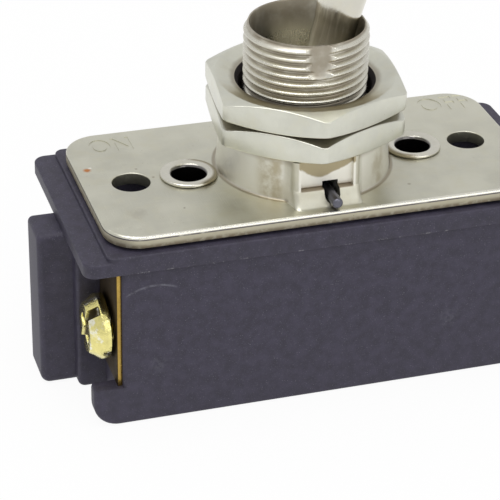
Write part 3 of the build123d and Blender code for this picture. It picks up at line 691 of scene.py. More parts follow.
def boss_finish(f, tint, looks, plate):
    """Drawn boss: a paler wall, painted shadow under the nut round its top, and brown beside the nose; the nose's
    recess is painted as a bright highlight, with a bowed painted shadow under the nut and painted shade along its
    sill."""
    x, y, z = f.axes()
    top, rest = PLATE_TOP, plate.window_sill
    across = abs(x + plate.nose_shift)
    wall = f.ramp(z, top + 0.02, top + 0.2)
    nose = f.ramp(across, 2.85, 2.6) * f.ramp(y, -6.1, -6.5)
    tint = f.blend(wall * (0.62 - nose * 0.6), tint, looks.drawn)
    # Painted shadow under the lower nut, round the boss's top
    under = f.ramp(z, BOSS_TOP - 0.75, BOSS_TOP - 0.2) * (1.0 - nose)
    tint = f.blend(under * 0.45, tint, looks.stain)
    beside = f.ramp(abs(x + 4.2), 1.2, 0.3).most(f.ramp(abs(x - 4.4), 0.9, 0.3) * 0.6)
    nose_side = beside * f.ramp(y, -2, -4) * f.ramp(f.noise(0.8, 4, 0.6), 0.3, 0.6)
    tint = f.blend(wall * nose_side * 0.66, tint, looks.tarnish)
    # Painted highlight: the recess's flat made nearly white, as if it mirrored the bright surround
    flat = f.ramp(across, 2.35, 2.2) * f.ramp(y, -5.6, -6.0) * f.ramp(z, top + rest - 0.1, top + rest + 0.05)
    tint = f.blend(flat * 0.9, tint, looks.burnished)
    bowed = ((x + 1) * (x + 1) + 0.25) ** 0.5 * 0.615 - (x + 1) * 0.145
    under_nut = z - (top + 1.7) - bowed + (f.noise(1.6, 2) - 0.5) * 0.3
    shadow = flat * f.ramp(under_nut, -0.1, 0.12)
    tint = f.blend(shadow * 0.9, tint, shade(looks.tarnish, 0.85))
    # Painted shade in the gap along the recess's sill
    sill = f.ramp(abs(z - top - rest), 0.1, 0.03) * f.ramp(across, 2.2, 2.0) * f.ramp(y, -6, -6.5)
    return f.blend(sill * 0.85, tint, looks.stain), wall * 0.16 - shadow * 0.1


def spots(f, tint, looks):
    """Small marks on the plate's top: a rust spot with a painted highlight on it, dark specks and a scuff."""
    tint = f.blend(f.near((-14.7, -5.0, PLATE_TOP), 1.0, 1.4) * 0.16, tint, looks.stain)
    for x, y, radius, stuff, strength in (
        (-16.75, 2.75, 0.42, looks.rust, 0.95),
        # painted highlight on the rust spot
        (-16.45, 3.05, 0.2, looks.burnished, 0.9),
        (-13.0, 2.0, 0.15, looks.stain, 0.6),
        (-12.05, 0.35, 0.16, looks.stain, 0.6),
        (-11.05, -5.05, 0.13, looks.stain, 0.7),
        (6.8, -5.9, 0.2, looks.stain, 0.5),
    ):
        tint = f.blend(f.near((x, y, PLATE_TOP), radius) * strength, tint, stuff)
    return tint


def rim_finish(f, tint, looks, plate):
    """Rim of the plate: a painted highlight along the front's rolled edge, with a painted dark reflection line
    under it, then sheared metal that goes over to torn, stained metal below."""
    x, y, z = f.axes()
    below = PLATE_TOP - z
    half_x, half_y = (PLATE_HIGH - PLATE_LOW)[:2] / 2 - plate.corner
    out = far((abs(x) - half_x).most(0.0), (abs(y) - half_y).most(0.0))
    rim = f.ramp(out, plate.corner - 0.3, plate.corner - 0.2)
    # Painted highlight along the front's rolled edge
    rolled = rim * f.ramp(below, 0.24, 0.18) * f.ramp(y, -7.6, -8.4)
    tint = f.blend(rolled * 0.6, tint, looks.burnished)
    sheared = rim * f.ramp(below, 0.24, 0.34)
    tint = f.blend(sheared * 0.4, tint, looks.tarnish)
    torn = rim * f.ramp(below, 0.5, 0.8) * f.ramp(f.noise(2.3, 3), 0.3, 0.55)
    tint = f.blend(torn * 0.6, tint, looks.stain)
    # Painted dark reflection line under the rolled edge
    line = rim * f.ramp(abs(below - 0.25), 0.08, 0.03) * f.ramp(f.noise(0.9, 2), 0.2, 0.45)
    return f.blend(line * 0.85, tint, BLACK_LINE), sheared * 0.18 - rolled * 0.1, line


def plate_finish(looks):
    """Nickel on the plate: painted light makes it brighter towards the back; painted shade falls in front of the
    boss and round its foot.
    """
    f = Finish("plate_nickel", looks.plate, metallic=1.0)
    plate = sizes("plate")
    tint, roughness, relief = nickel_layers(f, looks.plate, looks, 0.34, 0.6, 0.12)
    x, y, z = f.axes()
    # Painted light: the plate lighter towards the back, where more light falls
    tint = f.blend(f.ramp(y + x * 0.2, 1, 9) * 0.35, tint, shade(looks.plate, 1.3))
    away = far(x, y)
    # Painted shade of the boss on the plate in front of it
    painted_boss_shade = f.ramp(away, 9.4, 7.0) * f.ramp(y, -1, -4) * f.ramp(f.noise(0.45, 3), 0.32, 0.62)
    tint = f.blend(painted_boss_shade * 0.2, tint, looks.tarnish)
    tint, boss_rough = boss_finish(f, tint, looks, plate)
    # Painted shade: a dark ring in the crease round the boss's foot
    foot = f.ramp(abs(away - 7.0), 0.22, 0.06) * f.ramp(z, PLATE_TOP + 0.3, PLATE_TOP + 0.02)
    tint = f.blend(foot * 0.6, tint, looks.stain)
    tint, rim_rough, line = rim_finish(f, spots(f, tint, looks), looks, plate)
    return f.done(tint, roughness + boss_rough + rim_rough, relief - line, depth=0.014)


def nut_finish(looks):
    """Nickel on the nuts: the dished ring has brown tarnish and a painted reflection of the thread, strongest in
    front; painted shade darkens the hole's mouth, and dirt and painted shade sit where the nuts meet."""
    f = Finish("nut_nickel", looks.nut, metallic=1.0)
    tint, roughness, relief = nickel_layers(f, looks.nut, looks, 0.33, 0.45, 0.15)
    x, y, z = f.axes()
    from_axis = far(x, y)
    away = from_axis + (f.noise(1.2, 3) - 0.5) * 0.3
    # Painted reflection of the thread, strongest in front, over the dish's brown tarnish
    facing = f.ramp((x * -0.31 + y * -0.95) / away, 0.2, 0.75, 0.08, 1.0)
    dish = f.ramp(away, 7.1, 6.75) * facing
    tint = f.blend(dish * f.ramp(f.noise(0.9, 3), 0.2, 0.6, 0.45, 0.85), tint, looks.tarnish)
    # Painted shade in the countersink next to the hole
    tint = f.blend(f.ramp(away, THREAD + 0.9, THREAD + 0.45) * 0.55, tint, looks.stain)
    # Painted shade: the hole's mouth nearly black
    hole = f.ramp(from_axis, THREAD + 0.36, THREAD + 0.3)
    tint = f.blend(hole * 0.94, tint, DARK_HOLE)
    meeting = (top_of("lower_nut") + bottom_of("upper_nut")) / 2
    # Dirt and painted shade where the two nuts meet
    gap = abs(z - meeting) - (from_axis - sizes("nuts").flats / 2).most(0.0) * 0.35
    dirt = f.ramp(gap, 0.10, 0.03) * f.ramp(f.noise(0.7, 3), 0.1, 0.5, 0.6, 1.0)
    tint = f.blend(dirt * 0.88, tint, looks.stain)
    return f.done(tint, roughness + dish * 0.08 + dirt * 0.2 + hole * 0.3, relief, depth=0.012)


def eyelet_finish(looks):
    """Bright nickel on the eyelets, with a painted olive reflection of the boss on the side of each head that
    faces it, and painted shade inside.
    """
    f = Finish("eyelet_nickel", looks.bright, metallic=1.0)
    tint, roughness, relief = nickel_layers(f, looks.bright, looks, 0.2, 0.3, 0.3)
    x, y, z = f.axes()
    outward = abs(x) - EYELET_X
    away = far(outward, y)
    # Painted reflection of the boss, dark olive, on the side of the head that faces it
    shaded = f.ramp(away, 1.8, 2.05) * f.ramp(outward, -0.2, -1.0)
    tint = f.blend(shaded * 0.8, tint, shade(looks.tarnish, 0.6))
    deep = f.ramp(away, 1.55, 1.4) * f.ramp(z, PLATE_TOP + 0.45, PLATE_TOP + 0.1)
    tint = f.blend(deep * 0.8, tint, DARK_BORE)
    return f.done(tint, roughness + shaded * 0.15, relief, depth=0.012)


def thread_finish(looks):
    """Bright nickel on the bushing, brown down in the thread's valleys."""
    f = Finish("thread_nickel", looks.bright, metallic=1.0)
    tint, roughness, relief = nickel_layers(f, looks.bright, looks, 0.27, 0.3, 0.25)
    deep = sizes("bushing").crest - far(*f.axes()[:2])
    valley = f.ramp(deep, 0.16, 0.34) * f.ramp(deep, 0.75, 0.6)
    tint = f.blend(valley * f.ramp(f.noise(0.8, 3), 0.2, 0.55, 0.2, 0.6), tint, looks.stain)
    return f.done(tint, roughness + valley * 0.2, relief, depth=0.012)


def metal_finish(name, base, rough, dirt=(0.12, 0.07, 0.03), dirty=0.3, drawn=(1, 1, 1), depth=0.01,
                 dark_from=None, recess=None, worn=None):
    """Bare metal: cloudy tint, tarnish, worn patches, fine grain drawn along one axis. It can be dark past a
    distance along X, and carry painted shade in a recess, given as (outer face along X, axis along Y, axis along
    Z, the head's radius there, its slope)."""
    f = Finish(name, base, metallic=1.0)
    cloud = f.noise(0.9, 4, 0.6)
    fine = f.noise(6, 2, 0.55, f.stretched(*drawn))
    tint = f.blend(f.ramp(cloud, 0.32, 0.7), shade(base, 0.85), shade(base, 1.1))
    tarnish = f.ramp(f.noise(0.7, 4, 0.65), 0.5, 0.75) * dirty
    x, y, z = f.axes()
    if dark_from is not None:
        tarnish = tarnish.most(f.ramp(abs(x), dark_from - 0.05, dark_from) * 0.97)
    # Painted shade in the screw head's recess
    if recess is not None:
        face, axis_y, axis_z, radius, slope = recess
        deep = face - abs(x)
        from_axis = far(abs(y) - axis_y, z - axis_z) - deep * slope
        within = f.ramp(from_axis, radius - 0.08, radius - 0.2)
        tarnish = tarnish.most(f.ramp(deep, 0.1, 0.35) * f.ramp(deep, 1.0, 0.92) * within * 0.95)
    tint = f.blend(tarnish, tint, dirt)
    if worn is not None:
        tint = f.blend(f.ramp(f.noise(1.1, 3, 0.6), 0.54, 0.66) * 0.8, tint, worn)
    tint = f.blend(f.ramp(fine, 0.6, 0.8) * 0.2, tint, shade(base, 0.6))
    roughness = rough + (fine - 0.5) * 0.16 + tarnish * 0.35
    return f.done(tint, roughness, fine + cloud * 0.5, depth)


def insulation_finish(name, base, rough, flecks=0.25):
    """Moulded or pressed insulation: mottled, with darker flecks and a fine skin."""
    f = Finish(name, base)
    mottle = f.noise(1.4, 4, 0.6)
    fine = f.noise(8, 3, 0.6)
    tint = f.blend(f.ramp(mottle, 0.3, 0.7), shade(base, 0.8), shade(base, 1.12))
    tint = f.blend(f.ramp(f.cells(3.5), 0.2, 0.08) * flecks, tint, shade(base, 0.4))
    return f.done(tint, rough + (fine - 0.5) * 0.2, fine + mottle * 0.6, depth=0.02)


def finishes():
    """Every finish of the switch by name, made once."""
    looks = bpy.context.scene.switch_finishes
    made = {m.name: m for m in bpy.data.materials}
    if "moulded_phenolic" in made:
        return made
    moulding_finish(looks)
    plate_finish(looks)
    nut_finish(looks)
    thread_finish(looks)
    eyelet_finish(looks)
    lever_finish(looks)
    strip_face = max(abs(corner[0]) for corner in node_box("line_terminal_front"))
    metal_finish("strip_brass", looks.brass, 0.3, dirt=(0.04, 0.03, 0.022), drawn=(1, 0.2, 1),
                 dark_from=strip_face - 0.02)
    low, high = node_box("terminal_screw_right_back")
    middle = (low + high) / 2
    metal_finish("binding_screw", looks.screw, 0.16, dirt=(0.06, 0.04, 0.02), dirty=0.2, depth=0.03,
                 recess=(high[0], middle[1], middle[2], 1.9, 0.62), worn=looks.polished)
    metal_finish("pin_steel", looks.pin, 0.32, dirt=(0.03, 0.03, 0.04))
    metal_finish("arm_copper", looks.copper, 0.33, drawn=(0.2, 1, 1))
    metal_finish("contact_silver", looks.silver, 0.3, dirt=(0.25, 0.22, 0.18), dirty=0.2)
    metal_finish("spring_wire", looks.spring, 0.28, dirt=(0.1, 0.09, 0.08), dirty=0.2)
    insulation_finish("bar_insulation", looks.nylon, 0.45)
    insulation_finish("plunger_fibre", looks.fibre, 0.55, 0.4)
    return {m.name: m for m in bpy.data.materials}


# ------------------------------------------------------------------ operators
class BuildOperator(bpy.types.Operator):
    """Shared options of the switch's operators."""

    bl_options = {"REGISTER", "UNDO"}


class SWITCH_OT_mouldings(BuildOperator):
    """Base and cover as moulded, with softened edges"""

    bl_idname = "switch.mouldings"
    bl_label = "Mouldings"

    def execute(self, context):
        looks = finishes()
        for node in ("base", "cover"):
            piece = rounded_copy(node, f"{node}_moulding", 0.1)
            place(piece, node, looks["moulded_phenolic"])
        return {"FINISHED"}


def quarter(steps):
    """Angles of a quarter turn."""
    return np.linspace(0, math.pi / 2, steps)


def boss_rows(s, height):
    """Heights over the plate of the rows that run up the boss, closer in the flare and the top edge."""
    flare = s.boss_flare * (1 - np.cos(quarter(6)))
    straight = np.linspace(s.boss_flare, height - s.boss_round, 22)[1:-1]
    return np.concatenate([flare, straight, height - s.boss_round + s.boss_round * np.sin(quarter(6))])


def nose_reach(s, z, height):
    """Distance of the nose's face from the axis at each height over the plate: a hollow foot that
    steepens up to the recess, then a straight front that leans in a little."""
    up = [0, 0.06, 0.2, 0.45, 0.8, 1.2, s.window_sill, height - s.boss_round, height]
    out = [7.95, 7.8, 7.62, 7.42, 7.25, 7.08, 7.0, 6.9, 6.85]
    return np.interp(z, up, out)


def boss_skin(s):
    """Drawn boss with its nose. Round the back, radius = taper + a quarter-circle flare at the foot
    - a quarter-circle at the top; in front, y = -(nose profile) where |x| is inside the nose, with a
    quarter-circle corner, then 1 - (1 - t)^3 of the way from there to the boss's own y."""
    height = BOSS_TOP - PLATE_TOP
    flare, edge, half, corner = s.boss_flare, s.boss_round, s.nose_half, s.nose_corner
    z = boss_rows(s, height)
    foot = flare - np.sqrt(np.clip(flare**2 - np.clip(flare - z, 0, None) ** 2, 0, None))
    over = np.clip(z - (height - edge), 0, None)
    lip = edge - np.sqrt(np.clip(edge**2 - over**2, 0, None))
    radius = s.boss_base + (s.boss_top - s.boss_base) * z / height + foot - lip
    right = np.concatenate([
        np.linspace(0, half - corner, 12)[:-1],
        half - corner + corner * np.sin(quarter(10))[:-1],
        half + s.nose_side * np.linspace(0, 1, 12)[:-1],
        half + s.nose_side + np.linspace(0, 1.1, 6),
    ])
    across = np.concatenate([-right[:0:-1], right])
    front = across - s.nose_shift
    starts = np.arccos(front[-1] / s.boss_base), np.arccos(-front[0] / s.boss_base)
    around = np.linspace(-starts[0], math.pi + starts[1], 150)[1:-1]
    r, a = radius[:, None], around[None]
    back = np.stack([r * np.cos(a), r * np.sin(a), PLATE_TOP + z[:, None] + 0 * a], -1)
    y_boss = -np.sqrt(np.clip(r**2 - front**2, 0, None))
    over = np.clip((np.abs(across) - half + corner) / corner, 0, 1)
    y_nose = -nose_reach(s, z, height)[:, None] + corner * (1 - np.sqrt(1 - over**2))
    eased = np.clip((np.abs(across) - half) / s.nose_side, 0, 1)
    y = y_nose + (y_boss - y_nose) * (1 - (1 - eased) ** 3)
    ahead = np.stack([front + 0 * r, np.minimum(y, y_boss), PLATE_TOP + z[:, None] + 0 * front], -1)
    return np.concatenate([ahead, back], 1)


def plate_wall(s, under):
    """Rim of the plate: its outline, pushed out by an edge profile with a rolled top and a small round
    below, one ring for each point of the profile."""
    outline, normals = rounded_rectangle(*(PLATE_HIGH - PLATE_LOW)[:2], s.corner)
    edge = path(
        arc((-s.rim, PLATE_TOP - s.rim), s.rim, 90, 0, 10),
        arc((-s.burr, under + s.burr), s.burr, 0, -90, 3),
    )
    wall = outline[None] + edge[:, None, :1] * normals[None]
    return np.concatenate([wall, np.broadcast_to(edge[:, None, 1:], (*wall.shape[:2], 1))], -1)


def boss_shell(s, under):
    """Boss's skin, carried over its top to the bushing's hole and down through the plate."""
    skin = boss_skin(s)
    bore = THREAD + s.room
    a = np.arctan2(skin[-1, :, 1], skin[-1, :, 0])
    top_ring = np.stack([bore * np.cos(a), bore * np.sin(a), np.full(len(a), BOSS_TOP)], -1)
    low_ring = top_ring * (1, 1, 0) + (0, 0, under)
    outer = np.hypot(skin[-1, :, 0], skin[-1, :, 1])
    skin[-1, :, :2] *= np.maximum(1, (bore + s.room) / outer)[:, None]
    return np.concatenate([skin, top_ring[None], low_ring[None]])


class SWITCH_OT_plate(BuildOperator):
    """Stamped plate with rolled rim, pierced holes, drawn boss, nose, window and slot"""

    bl_idname = "switch.plate"
    bl_label = "Mounting plate"

    def execute(self, context):
        s = sizes("plate")
        under = PLATE_LOW[2]
        wall, shell = plate_wall(s, under), boss_shell(s, under)
        parts = [(skin.reshape(-1, 3), grid_quads(*skin.shape[:2])) for skin in (wall, shell)]
        angles = even_angles(72)
        loops_top, loops_under = [wall[0, :, :2]], [wall[-1, :, :2]]
        for x, radius in ((SCREW_HOLE_X, SCREW_HOLE), (EYELET_X, s.eyelet_hole)):
            lip = s.hole_round
            profile = path(arc((radius + lip, PLATE_TOP - lip), lip, 90, 180, 5), (radius, under))
            for end in ENDS.values():
                ring = rings(profile, angles) + (end * x, 0, 0)
                parts.append((ring, grid_quads(len(profile), len(angles))))
                loops_top.append(ring[: len(angles), :2])
                loops_under.append(ring[-len(angles):, :2])
        parts.append(flat_with_holes([*loops_top, shell[0, :, :2]], PLATE_TOP))
        parts.append(flat_with_holes([*loops_under, shell[-1, :, :2]], under))
        cutters = [window_cutter(s), pin_slot_cutter(s, s.slot_depth), *stamped_words(s)]
        piece = carve(mesh_piece("stamped_plate", parts), cutters, smooth=30)
        place(piece, "mounting_plate", finishes()["plate_nickel"])
        return {"FINISHED"}


def window_cutter(s):
    """Block that cuts the flat recess in the nose, open at the top."""
    left, right = -s.window_half - s.nose_shift, s.window_half - s.nose_shift
    sill, above = PLATE_TOP + s.window_sill, BOSS_TOP + 1
    outline = [(left, sill), (right, sill), (right, above), (left, above)]
    return prism("window_cutter", outline, -AHEAD, -s.window_floor)


def pin_slot_cutter(s, depth):
    """Slot for the pin: a half circle below, square above, cut from the front to a distance from the
    axis."""
    half, top = s.slot_half, PLATE_TOP + s.slot_high
    round_end = arc((0, PLATE_TOP + s.slot_low + half), half, 180, 360, 16)
    return prism("slot_cutter", path((half, top), (-half, top), round_end), -AHEAD, -depth)


def stamped_words(s):
    """ON and OFF as closed letters sunk into the plate's two ends, each word fitted to its box."""
    cutters = []
    for word, low, high in (("ON", (-15.7, 5.3), (-12.3, 7.6)), ("OFF", (12.4, 5.4), (16.8, 7.9))):
        text = bpy.data.curves.new(f"word_{word}", "FONT")
        text.body, text.size, text.resolution_u = word, 3 * UNIT, 4
        text.extrude, text.offset = s.stamp * UNIT, s.letter_bold * UNIT
        holder = bpy.data.objects.new(f"word_{word}", text)
        bpy.context.scene.collection.objects.link(holder)
        mesh = bpy.data.meshes.new_from_object(holder)
        bpy.data.objects.remove(holder)
        points = mesh_points(mesh)
        lowest, highest = points.min(0)[:2], points.max(0)[:2]
        points[:, :2] = low + (points[:, :2] - lowest) / (highest - lowest) * np.subtract(high, low)
        points[:, 2] += PLATE_TOP
        mesh.vertices.foreach_set("co", (points * UNIT).ravel())
        built = bmesh.new()
        built.from_mesh(mesh)
        bmesh.ops.remove_doubles(built, verts=built.verts, dist=0.001 * UNIT)
        bmesh.ops.recalc_face_normals(built, faces=built.faces)
        cutters.append(finished(f"stamp_{word}", built))
    return cutters


def mesh_points(mesh):
    """The points of a mesh in units, one to a row."""
    points = np.empty(3 * len(mesh.vertices))
    mesh.vertices.foreach_get("co", points)
    return points.reshape(-1, 3) / UNIT


def keyed(points, s, high):
    """Points of the thread drawn in to the keyway: a groove of radius c whose axis stands at a
    distance d, so that towards an angle a from its middle r = d cos a - sqrt(c^2 - d^2 sin^2 a),
    ending in a ball of the same radius."""
    half, depth = s.keyway_width / 2, s.keyway_depth
    cutter = (half**2 + depth**2) / (2 * depth)
    away = s.crest - depth + cutter
    foot = high - s.keyway_length + half
    a = np.arctan2(points[:, 1], points[:, 0]) + math.pi / 2 - s.keyway_turn
    reach = cutter**2 - (away * np.sin(a)) ** 2 - np.clip(foot - points[:, 2], 0, None) ** 2
    groove = away * np.cos(a) - np.sqrt(np.clip(reach, 0, None))
    radius = np.hypot(points[:, 0], points[:, 1])
    cut = (reach > 0) & (np.cos(a) > 0) & (groove < radius)
    points[cut, :2] *= (groove[cut] / radius[cut])[:, None]
    return points


class SWITCH_OT_bushing(BuildOperator):
    """Threaded bushing with keyway, flared mouth and pin slot"""

    bl_idname = "switch.bushing"
    bl_label = "Threaded bushing"

    def execute(self, context):
        s = sizes("bushing")
        low, high = bottom_of("bushing"), top_of("bushing")
        root = s.crest - 0.56 * s.pitch
        near = 1.5 * math.pi + s.keyway_turn + np.radians(np.linspace(-20, 20, 81))
        rest = near[-1] + np.linspace(0, TURN - (near[-1] - near[0]), 110)[1:-1]
        angles = np.sort(np.concatenate([near, rest]) % TURN)
        start = BOSS_TOP - s.sunk
        thread, thread_quads = helix_thread(s.crest, root, s.pitch, start, high, angles, s.chamfer)
        straight, seat = PIVOT.z + s.straight, PLATE_LOW[2]
        inner = path(
            (s.crest - s.chamfer, high), arc((s.mouth + s.lip, high - s.lip), s.lip, 90, 165, 4),
            (s.mouth - 0.15, high - 0.9), (s.bore + 0.05, straight + 0.3), (s.bore, straight - 0.2),
            (s.bore, low), (s.flange, low), (s.flange, seat), (THREAD, seat), (THREAD, start - 0.3),
            (root, start - 0.1), (root, start),
        )
        parts = [
            (keyed(thread, s, high), thread_quads),
            (keyed(rings(inner, angles), s, high), grid_quads(len(inner), len(angles))),
        ]
        piece = mesh_piece("threaded_bushing", parts, smooth=50)
        carve(piece, [pin_slot_cutter(sizes("plate"), s.slot_depth)], smooth=50)
        place(piece, "bushing", finishes()["thread_nickel"])
        return {"FINISHED"}


def hexagon_radius(angles, flats, turn, blunt):
    """Radius of a hexagon towards each angle: half the flats over the cosine of the angle to the
    nearest flat's middle, no more than the corner less its blunting."""
    off = (angles - turn) % (TURN / 6) - TURN / 12
    corner = flats / math.sqrt(3)
    return np.minimum(flats / 2 / np.cos(off), corner - blunt)


def nut_rows(s, angles, outer, low, high):
    """Rings of a nut, each a radius and a height for every angle: up the hole's foot, out under the
    nut, round its two stamped edges, in over the top and down the dished, steep-mouthed hole."""
    bore, edge, sink = THREAD + s.room, s.edge, s.sink
    beyond = np.clip(outer - s.flats / 2, 0, None)
    under, over = low + beyond * math.tan(s.under_slope), high - beyond * math.tan(s.top_slope)
    inner = np.minimum(outer - edge, s.flats / 2 - 0.1)
    rows = [(bore, low + s.foot), (bore + s.foot, low), (inner, low)]
    turns = quarter(5)
    rows += [(outer - edge * (1 - math.sin(a)), under + edge * (1 - math.cos(a))) for a in turns]
    rows += [(outer - edge * (1 - math.cos(a)), over - edge * (1 - math.sin(a))) for a in turns]
    rows += [(inner, high), (bore + sink + 0.06, high)]
    rows += [
        (bore + s.lead + (sink - s.lead) * (1 - step), high - s.sink_depth * step**0.8 - 0.012)
        for step in np.linspace(0, 1, 7)
    ]
    mouth = high - s.sink_depth - s.lead * 1.4
    rows += [(bore, mouth), (bore, low + s.foot)]
    cosine, sine, level = np.cos(angles), np.sin(angles), 0 * angles
    return np.stack([np.stack([r * cosine, r * sine, z + level], -1) for r, z in rows])


class SWITCH_OT_nuts(BuildOperator):
    """Two thin hexagon nuts with chamfered corners and threaded holes"""

    bl_idname = "switch.nuts"
    bl_label = "Hexagon nuts"

    def execute(self, context):
        s = sizes("nuts")
        spread = np.concatenate([np.linspace(-30, -3, 10), np.linspace(-2.5, 2.5, 7), np.linspace(3, 27, 9)])
        for node, turned in (("lower_nut", s.lower_turn), ("upper_nut", s.upper_turn)):
            turn = turned - math.pi / 2
            corners = TURN / 6 * np.arange(6) + turn
            angles = np.sort((corners[:, None] + np.radians(spread)).ravel())
            outer = hexagon_radius(angles, s.flats, turn, s.corner)
            rows = nut_rows(s, angles, outer, bottom_of(node), top_of(node))
            parts = [(rows.reshape(-1, 3), grid_quads(*rows.shape[:2]))]
            piece = mesh_piece(f"{node}_hexagon", parts, smooth=24)
            place(piece, node, finishes()["nut_nickel"])
        return {"FINISHED"}


class SWITCH_OT_eyelets(BuildOperator):
    """Tubular rivets with rolled heads, run down to their feet under the base"""

    bl_idname = "switch.eyelets"
    bl_label = "Eyelets"

    def execute(self, context):
        s = sizes("eyelets")
        angles = even_angles(96)
        for side, end in ENDS.items():
            node = f"eyelet_{side}"
            box_low, box_high = node_box(node)
            foot, top = box_low[2], box_high[2] - s.lower
            flange = (box_high - box_low)[0] / 2 - s.inset
            inside_foot = (s.bore, PLATE_TOP - 1.2)
            profile = path(
                inside_foot,
                arc((s.bore + s.roll, top - 0.05 - s.roll), s.roll, 180, 90, 8),
                (flange - 0.45, top - 0.015),
                arc((flange - s.edge, top - s.edge), s.edge, 90, -20, 7),
                (flange - 0.12, PLATE_TOP),
                (s.tube, PLATE_TOP),
                (s.tube, s.sink),
                (flange, s.sink), (flange, s.sink - s.foot), (flange - 0.15, foot),
                (s.bore + 0.15, foot), (s.bore, foot + s.foot), inside_foot,
            )
            points = rings(profile, angles)
            wave = s.wave * np.sin(3 * np.arctan2(points[:, 1], points[:, 0]) + end)
            points[:, 2] += wave * (points[:, 2] > PLATE_TOP + 0.05)
            points[:, 2] = np.minimum(points[:, 2], top)
            points[:, 0] += end * EYELET_X
            piece = mesh_piece(f"{node}_tube", [(points, grid_quads(len(profile), len(angles)))], smooth=45)
            place(piece, node, finishes()["eyelet_nickel"])
        return {"FINISHED"}


class SWITCH_OT_lever(BuildOperator):
    """Bat lever: rounded tip, swelling handle, neck, pivot ball and tail, thrown to OFF"""

    bl_idname = "switch.lever"
    bl_label = "Bat lever"

    def execute(self, context):
        s = sizes("lever")
        low, high = node_box("lever")
        cosine, sine = math.cos(REST_TILT), math.sin(REST_TILT)
        mouth = top_of("bushing") - PIVOT.z
        reach = (high[2] - PIVOT.z - s.tip) / cosine
        foot = -(PIVOT.z - low[2] - s.tail * sine) / cosine
        t = np.linspace(0, 1, 40)[1:]
        swell = 0.75 * t + 0.25 * t * t
        handle = np.stack([s.neck + (s.tip - s.neck) * swell, mouth + (reach - mouth) * t], -1)
        t = np.linspace(0, 1, 14)[1:]
        ease = t * t * (3 - 2 * t)
        shoulder, waist = math.sqrt(s.ball**2 - s.root**2), -math.sqrt(s.ball**2 - s.tail**2)
        neck = np.stack([s.root + (s.neck - s.root) * ease, shoulder + (mouth - shoulder) * t], -1)
        under = -math.degrees(math.acos(s.tail / s.ball))
        over = math.degrees(math.acos(s.root / s.ball))
        profile = path(
            (0, foot), (s.tail - 0.2, foot), (s.tail, foot + 0.2), (s.tail, waist),
            arc((0, 0), s.ball, under, over, 30), neck, handle, arc((0, reach), s.tip, 0, 90, 24)[1:],
        )
        profile[-1, 0] = 0
        angles = even_angles(96)
        x, y, z = rings(profile, angles).T
        turned = np.stack([x * cosine + z * sine, y, z * cosine - x * sine], -1) + np.array(PIVOT)
        piece = mesh_piece("bat_lever", [(turned, grid_quads(len(profile), len(angles)))], smooth=35)
        place(piece, "lever", finishes()["lever_nickel"])
        return {"FINISHED"}


class SWITCH_OT_terminals(BuildOperator):
    """Brass terminals with rolled edges, and their binding screws with cut threads"""

    bl_idname = "switch.terminals"
    bl_label = "Terminals and screws"

    def execute(self, context):
        looks = finishes()
        for side in SIDES:
            for kind in ("line", "load"):
                node = f"{kind}_terminal_{side}"
                piece = rounded_copy(node, f"{node}_strip", 0.06)
                place(piece, node, looks["strip_brass"])
            for name, end in ENDS.items():
                self.screw(sizes("screws"), f"terminal_screw_{name}_{side}", end, looks["binding_screw"])
        return {"FINISHED"}

    def screw(self, s, node, end, finish):
        """A screw's rounded head and its threaded shank, which runs up into the head."""
        low, high = node_box(node)
        outer, inner = (high[0], low[0]) if end > 0 else (low[0], high[0])
        under_head = outer - end * s.head
        head = round_edges(self.head(node, under_head, end), s.edge, segments=3, sharp=30)
        points, quads = self.shank(s, abs(under_head - inner) + s.lap)
        x, y, z = points.T
        centre = (low + high) / 2
        points = np.stack([under_head + end * (s.lap - z), x + centre[1], y * end + centre[2]], -1)
        shank = mesh_piece(f"{node}_thread", [(points, quads)], smooth=50)
        for piece in (head, shank):
            place(piece, node, finish)

    def head(self, node, under_head, end):
        """The solid's head, cut off its shank a hair outside the head's underside and closed."""
        built = whole_faces(node)
        cut = bmesh.ops.bisect_plane(
            built, geom=built.verts[:] + built.edges[:] + built.faces[:], dist=0.0002 * UNIT,
            plane_co=((under_head + end * 0.002) * UNIT, 0, 0), plane_no=(end, 0, 0), clear_inner=True,
        )
        edges = [e for e in cut["geom_cut"] if isinstance(e, bmesh.types.BMEdge)]
        bmesh.ops.holes_fill(built, edges=edges, sides=0)
        bmesh.ops.recalc_face_normals(built, faces=built.faces)
        return finished(f"{node}_head", built)

    def shank(self, s, depth):
        """Threaded shank of a length along Z, with its end discs."""
        angles, chamfer = even_angles(32), 0.3
        root = s.thread - 0.55 * s.pitch
        points, quads = helix_thread(s.thread, root, s.pitch, 0, depth, angles, chamfer)
        for disc in ([(root, 0), (0, 0)], [(s.thread - chamfer, depth), (0, depth)]):
            quads = np.concatenate([quads, grid_quads(2, len(angles), start=len(points))])
            points = np.concatenate([points, rings(disc, angles)])
        return points, quads


class SWITCH_OT_inner_pieces(BuildOperator):
    """Pin, cross bar, plungers, springs, rockers and contact buttons"""

    bl_idname = "switch.inner_pieces"
    bl_label = "Inner pieces"

    def execute(self, context):
        looks = finishes()
        dressed = [
            ("pivot_pin", 0.22, "pin_steel", "dark_steel"),
            ("actuator", 0.12, "bar_insulation", "nylon"),
        ]
        for side in SIDES:
            dressed += [
                (f"plunger_{side}", 0.08, "plunger_fibre", "fibre"),
                (f"rocker_{side}", 0.12, "arm_copper", "copper"),
                (f"moving_contact_{side}", 0.15, "contact_silver", "silver"),
                (f"fixed_contact_{side}", 0.15, "contact_silver", "silver"),
            ]
        for node, width, look, slot in dressed:
            piece = rounded_copy(node, f"{node}_finished", width, segments=3)
            place(piece, node, looks[look])
        for side in SIDES:
            coat(frame["nodes"][f"toggle_spring_{side}"].data, looks["spring_wire"])
        return {"FINISHED"}


